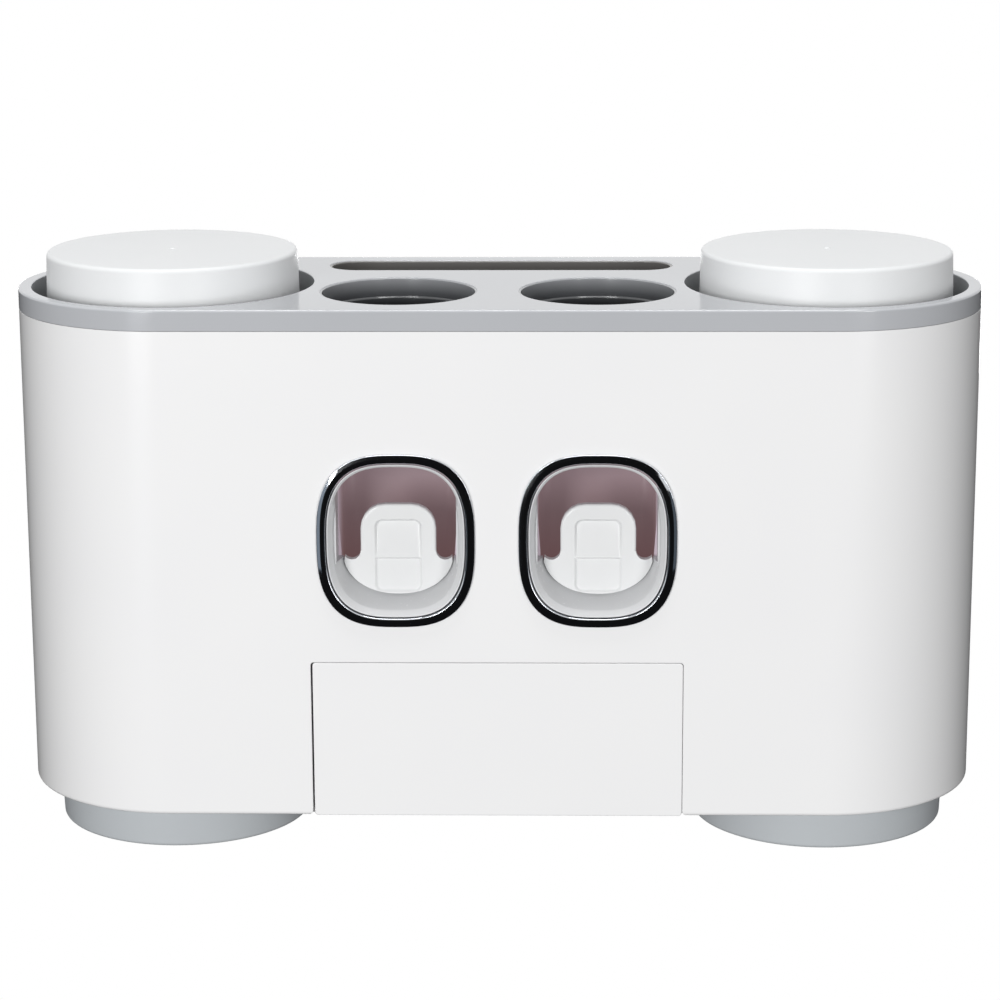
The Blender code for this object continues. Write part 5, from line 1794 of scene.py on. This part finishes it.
    def depth(self, across: float, up: float) -> float:
        """How far the face is sunk at a point.

        Args:
            across: from the window's centre.
            up: from the window's centre.

        Returns:
            Depth behind the face, negative outside the relief's outline.
        """
        over_x = abs(across) - self.pad + self.pad_corner
        over_z = abs(up - self.relief_z) - self.relief_half + self.pad_corner
        outside = math.hypot(max(over_x, 0), max(over_z, 0)) - self.pad_corner
        outside += min(max(over_x, over_z), 0)
        if outside >= 0:
            return -outside
        if up > self.ledge:
            along = (self.pad_top - up) / (self.pad_top - self.ledge)
            rise = min((up - self.ledge) / self.scoop_run, 1)
            hollow = self.scoop_depth * (1 - self.scoop_fall * along)
            floor = hollow * math.sqrt(rise * (2 - rise))
        else:
            floor = self.pad_depth * min((self.ledge - up) / self.step, 1)
        blend = min(-outside / self.relief_round, 1)
        return floor * blend ** 2 * (3 - 2 * blend)


@dataclass
class Chamber:
    """The smoked chamber behind a window, which carries the lever's pin and the pump.

    Args:
        finishes: the materials.
        side: which window.
        wall: of the chamber.
        half: half its inner width.
        top: its inner height above the window's centre.
        bottom: its inner floor from the window's centre.
        depth: from its front to its inner back.
        lip: thickness of the front lip.
        mouth: half the width inside that lip, high up.
        mouth_low: the same beside the lever's horns.
        mouth_rim: width of the lip above and below the mouth.
        taper_top: where the mouth starts to narrow.
        taper_bottom: where it stops.
        taper_round: radius where it starts.
        taper_corner: radius where it stops.
        back_corner: radius of its upright inner corners.
        tab: half the width of a screw tab.
        tab_length: how far a tab stands out.
        tab_depth: its thickness.
        tab_offset: its place across, from the window's centre.
        tab_corner: radius of its corners.
        duct: half the width of the duct behind the chamber.
        duct_depth: how far that stands back.
        duct_z: its lower end from the window's centre.
        duct_corner: radius of its corners.
        hole: radius of the holes for the tabs' screws.
        pin_hole: radius of the holes for the lever's pin.
        nozzle_hole: radius of the hole in the roof.
    """

    finishes: Finishes
    side: Side
    wall: float = 1.5 * MM
    half: float = 17.5 * MM
    top: float = 27.5 * MM
    bottom: float = -21.5 * MM
    depth: float = 22.0 * MM
    lip: float = 1.0 * MM
    mouth: float = 17.4 * MM
    mouth_low: float = 16.7 * MM
    mouth_rim: float = 0.5 * MM
    taper_top: float = 3.0 * MM
    taper_bottom: float = -7.0 * MM
    taper_round: float = 50.0 * MM
    taper_corner: float = 2.0 * MM
    back_corner: float = 4.0 * MM
    tab: float = 3.4 * MM
    tab_length: float = 7.2 * MM
    tab_depth: float = 2.0 * MM
    tab_offset: float = 12.5 * MM
    tab_corner: float = 1.5 * MM
    duct: float = 3.5 * MM
    duct_depth: float = 3.0 * MM
    duct_z: float = -9.5 * MM
    duct_corner: float = 0.5 * MM
    hole: float = 1.7 * MM
    pin_hole: float = 1.8 * MM
    nozzle_hole: float = 3.3 * MM

    def __post_init__(self) -> None:
        """Reads the chamber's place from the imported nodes."""
        outline = WindowOutline.read(self.side)
        front_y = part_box(f"dispenser_chamber_{self.side.label}")[0].y
        self.centre = Vector((outline.x, front_y, outline.z))

    def build(self) -> None:
        """Builds and dresses the chamber."""
        label = self.side.label
        outer, back = self.half + self.wall, self.depth + self.wall
        body = self.part(f"smoked_chamber_{label}", (-outer, 0, self.bottom - self.wall),
                         (outer, back, self.top + self.wall), self.wall)
        joined = [self.part("duct", (-self.duct, back - self.wall / 2, self.duct_z),
                            (self.duct, back + self.duct_depth, self.top), self.duct_corner)]
        cut = [self.inside(), self.opening()]
        for way, root in ((1, self.top), (-1, self.bottom)):
            across = way * self.side.value * self.tab_offset
            end = root + way * (self.wall + self.tab_length)
            joined.append(self.part("tab", (across - self.tab, 0, min(root, end)),
                                    (across + self.tab, self.tab_depth, max(root, end)),
                                    self.tab_corner))
            spot = self.centre + Vector((across, 0, end - way * self.tab))
            cut.append(rod("tab_hole", spot - Vector((0, OVERRUN, 0)),
                           spot + Vector((0, self.tab_depth + OVERRUN, 0)), self.hole,
                           HOLE_STEPS))
        low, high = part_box(f"lever_pin_{label}")
        cut.append(axle("pin_hole", (low + high) / 2, outer + OVERRUN, self.pin_hole,
                        HOLE_STEPS))
        roof = self.centre + Vector((0, self.depth / 2, self.top))
        cut.append(upright_hole("roof_hole", roof, self.wall, self.nozzle_hole))
        # The chamber's finish paints shade downwards, light at its front edge and a glow
        fit(carve(body, cut, joined), self.finishes.smoke_pc, Slot.SMOKE_PC, "housing",
            f"dispenser_chamber_{label}")

    def part(self, name: str, low: Spot, high: Spot, corner: float) -> bpy.types.Object:
        """A block from two corners given from the window's centre and the chamber's front."""
        return block(name, self.centre + Vector(low), self.centre + Vector(high), corner)

    def inside(self) -> bpy.types.Object:
        """The room inside, its upright back corners rounded.

        Returns:
            Its cutter.
        """
        plan = filleted([
            (-self.half, self.lip, 0), (self.half, self.lip, 0),
            (self.half, self.depth, self.back_corner), (-self.half, self.depth, self.back_corner),
        ], closed=True)
        return loft("inside", [[tuple(self.centre + Vector((u, v, w))) for u, v in plan]
                               for w in (self.bottom, self.top)])

    def opening(self) -> bpy.types.Object:
        """The mouth inside the lip, which narrows beside the lever.

        Returns:
            Its cutter.
        """
        half = [(self.mouth, self.top - self.mouth_rim, 0),
                (self.mouth, self.taper_top, self.taper_round),
                (self.mouth_low, self.taper_bottom, self.taper_corner),
                (self.mouth_low, self.bottom + self.mouth_rim, 0)]
        front = filleted(half + [(-u, w, radius) for u, w, radius in reversed(half)], closed=True)
        return loft("mouth", [[tuple(self.centre + Vector((u, v, w))) for u, w in front]
                              for v in (-OVERRUN, self.lip + self.wall)])


@dataclass
class BrushPocket:
    """The long pocket behind the tubes that brushes and combs stand in.

    Args:
        finishes: the materials.
        wall: of the pocket.
        floor: thickness of its floor.
        lip_depth: thickness of its flange.
        lip_round: radius under the flange's edge.
        lip_fillet: radius where the flange springs from the wall.
        draft: how much its floor is narrower than its mouth.
        corner: radius along its floor.
        drain: radius of the drains.
        drain_pitch: between the drains.
        collar: width of its rounded collar inside the deck's slot.
        collar_round: radius on that collar.
    """

    finishes: Finishes
    wall: float = 1.5 * MM
    floor: float = 1.6 * MM
    lip_depth: float = 1.5 * MM
    lip_round: float = 0.2 * MM
    lip_fillet: float = 0.4 * MM
    draft: float = 0.8 * MM
    corner: float = 3.0 * MM
    drain: float = 2.2 * MM
    drain_pitch: float = 26.0 * MM
    collar: float = 0.7 * MM
    collar_round: float = 0.665 * MM

    def build(self) -> None:
        """Builds and dresses the pocket."""
        low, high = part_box("brush_pocket")
        radius, straight, centre_y = slot_plan()
        core, rim = radius / 3, radius + SLOT_FLANGE
        foot, lip, inner = radius - self.draft, radius - HAIRLINE, radius - self.collar
        floor_z, flange_z = low.z + self.floor, high.z - self.lip_depth
        brim_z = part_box("top_deck")[1].z - BRIM_DROP
        profile = filleted([
            (core, low.z, 0), (foot + self.wall, low.z, self.corner + self.wall),
            (radius + self.wall, flange_z, self.lip_fillet), (rim, flange_z, self.lip_round),
            (rim, high.z, 0), (lip, high.z, 0), (lip, brim_z, 0),
            (inner, brim_z, self.collar_round), (foot - self.collar, floor_z, self.corner),
            (core, floor_z, 0),
        ])
        pocket = loft("brush_pocket_moulding",
                      [stadium(reach, straight, centre_y, z) for reach, z in profile])
        drains = [upright_hole("pocket_drain", Vector((i * self.drain_pitch, centre_y, low.z)),
                               self.floor, self.drain) for i in (-1, 0, 1)]
        # The pocket's finish paints shade, darker further down
        fit(carve(pocket, drains), self.finishes.pocket_abs, Slot.GREY_ABS, "housing",
            "brush_pocket")


@dataclass
class Drawer:
    """The flush drawer's front, with its edges broken.

    Args:
        finishes: the materials.
        corner: radius at the front's corners.
        edge: radius along its edges.
    """

    finishes: Finishes
    corner: float = 1.0 * MM
    edge: float = 0.35 * MM

    def build(self) -> None:
        """Builds and dresses the drawer's front."""
        low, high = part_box("drawer_front")
        front = carve(block("drawer_face", low, high, self.corner), edge=self.edge)
        fit(front, self.finishes.white_abs, Slot.WHITE_ABS, "drawer", "drawer_front")


@dataclass
class Fixings:
    """The back's screws, with their cross recesses.

    Args:
        finishes: the materials.
        count: of the back screws.
        head: radius of a head.
        head_height: its height.
        head_side: height of the head's upright side.
        head_round: radius round its top.
        side_round: radius under that side.
        shank: radius of the shank.
        shank_round: radii at both ends of the shank.
        recess: half the length of the cross's arms.
        slot_width: of an arm.
        recess_depth: of the cross.
        edge: radius on the edges of the cross.
    """

    finishes: Finishes
    count: int = 4
    head: float = 3.0 * MM
    head_height: float = 1.4 * MM
    head_side: float = 0.3 * MM
    head_round: float = 0.15 * MM
    side_round: float = 0.1 * MM
    shank: float = 1.4 * MM
    shank_round: float = 0.2 * MM
    recess: float = 1.6 * MM
    slot_width: float = 0.7 * MM
    recess_depth: float = 0.9 * MM
    edge: float = 0.06 * MM

    def build(self) -> None:
        """Builds and dresses the back screws."""
        for i in range(1, self.count + 1):
            node = f"back_screw_{i}"
            fit(self.screw(f"cross_head_screw_{i}", node), self.finishes.steel, Slot.STEEL,
                "housing", node)

    def screw(self, name: str, node: str) -> bpy.types.Object:
        """A countersunk screw in a packed screw's place, its head towards the wall.

        Args:
            name: the piece's name.
            node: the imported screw.

        Returns:
            The screw.
        """
        low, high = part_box(node)
        seat = Vector(((low.x + high.x) / 2, high.y, (low.z + high.z) / 2))
        length = high.y - low.y
        profile = filleted([
            (0, 0, 0), (self.head, 0, self.head_round),
            (self.head, -self.head_side, self.side_round),
            (self.shank, -self.head_height, self.shank_round),
            (self.shank, self.shank - length, self.shank_round), (0, -length, 0),
        ])
        screw = turned(name, profile, seat, Vector((0, 1, 0)), ROD_STEPS)
        arms = []
        for across, up in ((self.recess, self.slot_width / 2), (self.slot_width / 2, self.recess)):
            arms.append(block("cross_arm", seat - Vector((across, self.recess_depth, up)),
                              seat + Vector((across, OVERRUN, up))))
        return carve(screw, arms, edge=self.edge)


def around(azimuth: float, elevation: float, distance: float) -> Vector:
    """A point round the holder.

    Args:
        azimuth: degrees, zero in front and growing to the right.
        elevation: degrees above the level.
        distance: from the holder.

    Returns:
        The point.
    """
    turn, rise = math.radians(azimuth), math.radians(elevation)
    level = distance * math.cos(rise)
    return Vector((level * math.sin(turn), -level * math.cos(turn), distance * math.sin(rise)))


@dataclass(frozen=True)
class Softbox:
    """A rectangular soft light that faces the holder.

    Args:
        name: the light's name.
        place: its centre.
        width: its width.
        height: its height.
        watts: its power.
    """

    name: str
    place: Vector
    width: float
    height: float
    watts: float

    def build(self) -> None:
        """Sets up the light."""
        lamp = bpy.data.lights.new(self.name, "AREA")
        lamp.shape = "RECTANGLE"
        lamp.size, lamp.size_y = self.width, self.height
        lamp.energy = self.watts
        light = bpy.data.objects.new(self.name, lamp)
        light.location = self.place
        light.rotation_euler = (-self.place).to_track_quat("-Z", "Y").to_euler()
        bpy.context.scene.collection.objects.link(light)


@dataclass(frozen=True)
class Card:
    """A card that faces the holder and that only glossy surfaces show.

    Args:
        name: the card's name.
        colour: its colour as hex.
        place: its centre.
        width: its width.
        height: its height.
    """

    name: str
    colour: str
    place: Vector
    width: float
    height: float

    def build(self) -> None:
        """Sets up the card."""
        material, tree = blank_material(f"{self.name}_paper")
        shader = add_node(tree, "ShaderNodeEmission", {"Color": linear(self.colour)})
        add_node(tree, "ShaderNodeOutputMaterial", links={"Surface": shader.outputs["Emission"]})
        material.cycles.emission_sampling = "NONE"
        turn = (-self.place).to_track_quat("Z", "Y").to_matrix()
        bm = bmesh.new()
        bm.faces.new([
            bm.verts.new(self.place + turn @ Vector((x * self.width / 2, y * self.height / 2, 0)))
            for x, y in ((-1, -1), (1, -1), (1, 1), (-1, 1))
        ])
        card = piece_from(self.name, bm)
        card.data.materials.append(material)
        card.visible_camera = False
        card.visible_diffuse = False
        card.visible_transmission = False
        card.visible_shadow = False
        card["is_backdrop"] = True


@dataclass(frozen=True)
class Studio:
    """The camera, the white surround and the soft lights of the photograph.

    Args:
        eye: where the camera stands.
        yaw: its turn about the upright, in radians.
        pitch: how far it looks down, in radians.
        roll: its tilt, in radians.
        lens_mm: focal length.
        sensor_mm: width of the sensor.
        near: the nearest that the camera shows.
        ambient: what the white surround gives to diffuse surfaces.
        table_drop: how far the dark table lies below the holder.
    """

    eye: Spot = (20.1 * MM, -971.3 * MM, 238.2 * MM)
    yaw: float = -0.0217
    pitch: float = 0.2431
    roll: float = 0.0042
    lens_mm: float = 112.84
    sensor_mm: float = 36.0
    near: float = 10.0 * MM
    ambient: float = 0.22
    table_drop: float = 0.45

    def build(self) -> None:
        """Sets up the camera, the world, the lights and the cards."""
        self.camera()
        self.world()
        self.lights()
        self.cards()
        bpy.context.scene.view_settings.view_transform = "Standard"

    def camera(self) -> None:
        """Stands the camera where the photograph was taken from."""
        data = bpy.data.cameras.new("camera")
        data.lens = self.lens_mm
        data.sensor_width = self.sensor_mm
        data.clip_start = self.near
        camera = bpy.data.objects.new("camera", data)
        bpy.context.scene.collection.objects.link(camera)
        camera.matrix_world = (
            Matrix.Translation(self.eye)
            @ Matrix.Rotation(-self.yaw, 4, "Z")
            @ Matrix.Rotation(math.pi / 2 - self.pitch, 4, "X")
            @ Matrix.Rotation(-self.roll, 4, "Z")
        )
        bpy.context.scene.camera = camera

    def world(self) -> None:
        """White for the camera, for gloss and for glass, and a plain level for the rest."""
        world = bpy.data.worlds.new("white_surround")
        bpy.context.scene.world = world
        world.use_nodes = True
        tree = world.node_tree
        tree.nodes.clear()
        path = add_node(tree, "ShaderNodeLightPath").outputs
        shown = path["Is Camera Ray"]
        for ray in ("Is Glossy Ray", "Is Transmission Ray"):
            either = add_node(tree, "ShaderNodeMath", links={0: shown, 1: path[ray]},
                              operation="MAXIMUM")
            shown = either.outputs["Value"]
        plain, white = (
            add_node(tree, "ShaderNodeBackground",
                     {"Color": linear("#ffffff"), "Strength": strength}).outputs["Background"]
            for strength in (self.ambient, 1.0)
        )
        mix = add_node(tree, "ShaderNodeMixShader", links={"Fac": shown, 1: plain, 2: white})
        add_node(tree, "ShaderNodeOutputWorld", links={"Surface": mix.outputs["Shader"]})

    def lights(self) -> None:
        """Three soft boxes in front and above, and one for the back, below the level."""
        Softbox("softbox_left", around(azimuth=-20, elevation=6, distance=2.2),
                width=0.62, height=0.9, watts=27.6).build()
        Softbox("softbox_right", around(azimuth=26, elevation=6, distance=2.2),
                width=0.52, height=0.9, watts=12.0).build()
        Softbox("softbox_top", around(azimuth=0, elevation=87, distance=2.0),
                width=1.2, height=0.8, watts=27.5).build()
        Softbox("softbox_back", around(azimuth=180, elevation=-12, distance=2.4),
                width=1.4, height=0.7, watts=22.0).build()

    def cards(self) -> None:
        """What the gloss reflects: the dark table and room, and a blue-grey streak each side."""
        Card("table_card", "#161617", Vector((0, 0, -self.table_drop)),
             width=7.0, height=7.0).build()
        Card("front_card", "#161617", around(azimuth=-1, elevation=-3, distance=1.5),
             width=0.8, height=0.9).build()
        Card("blue_card", "#8f99a4", around(azimuth=-24, elevation=-4, distance=1.6),
             width=0.34, height=1.1).build()
        Card("slate_card", "#5a6168", around(azimuth=22, elevation=-4, distance=1.6),
             width=0.24, height=1.1).build()


def carried_nodes(frame: dict, finishes: Finishes) -> None:
    """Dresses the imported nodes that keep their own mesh.

    Args:
        frame: the loaded frame.
        finishes: the materials.
    """
    slots = {entry["node"]: Slot(entry["material_slot"]) for entry in frame["record"]["subparts"]}
    for name, node in frame["nodes"].items():
        if node.hide_render:
            continue
        for material_slot in node.material_slots:
            material_slot.material = getattr(finishes, slots[name].value)


def corners() -> list[list[float]]:
    """The whole object's box as plain lists of numbers."""
    return [[float(value) for value in corner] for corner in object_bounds()]


def main() -> None:
    """Builds the dressed holder and its studio."""
    logging.basicConfig(level=logging.INFO, format="%(name)s: %(message)s")
    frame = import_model()
    finishes = Finishes.mixed()
    Housing(finishes).build()
    for side in Side:
        CupStation(finishes, side).build()
        Squeezer(finishes, side).build()
        TubeFunnel(finishes, side).build()
        Chamber(finishes, side).build()
    BrushPocket(finishes).build()
    Drawer(finishes).build()
    Fixings(finishes).build()
    carried_nodes(frame, finishes)
    Studio().build()


if __name__ == "__main__":
    main()
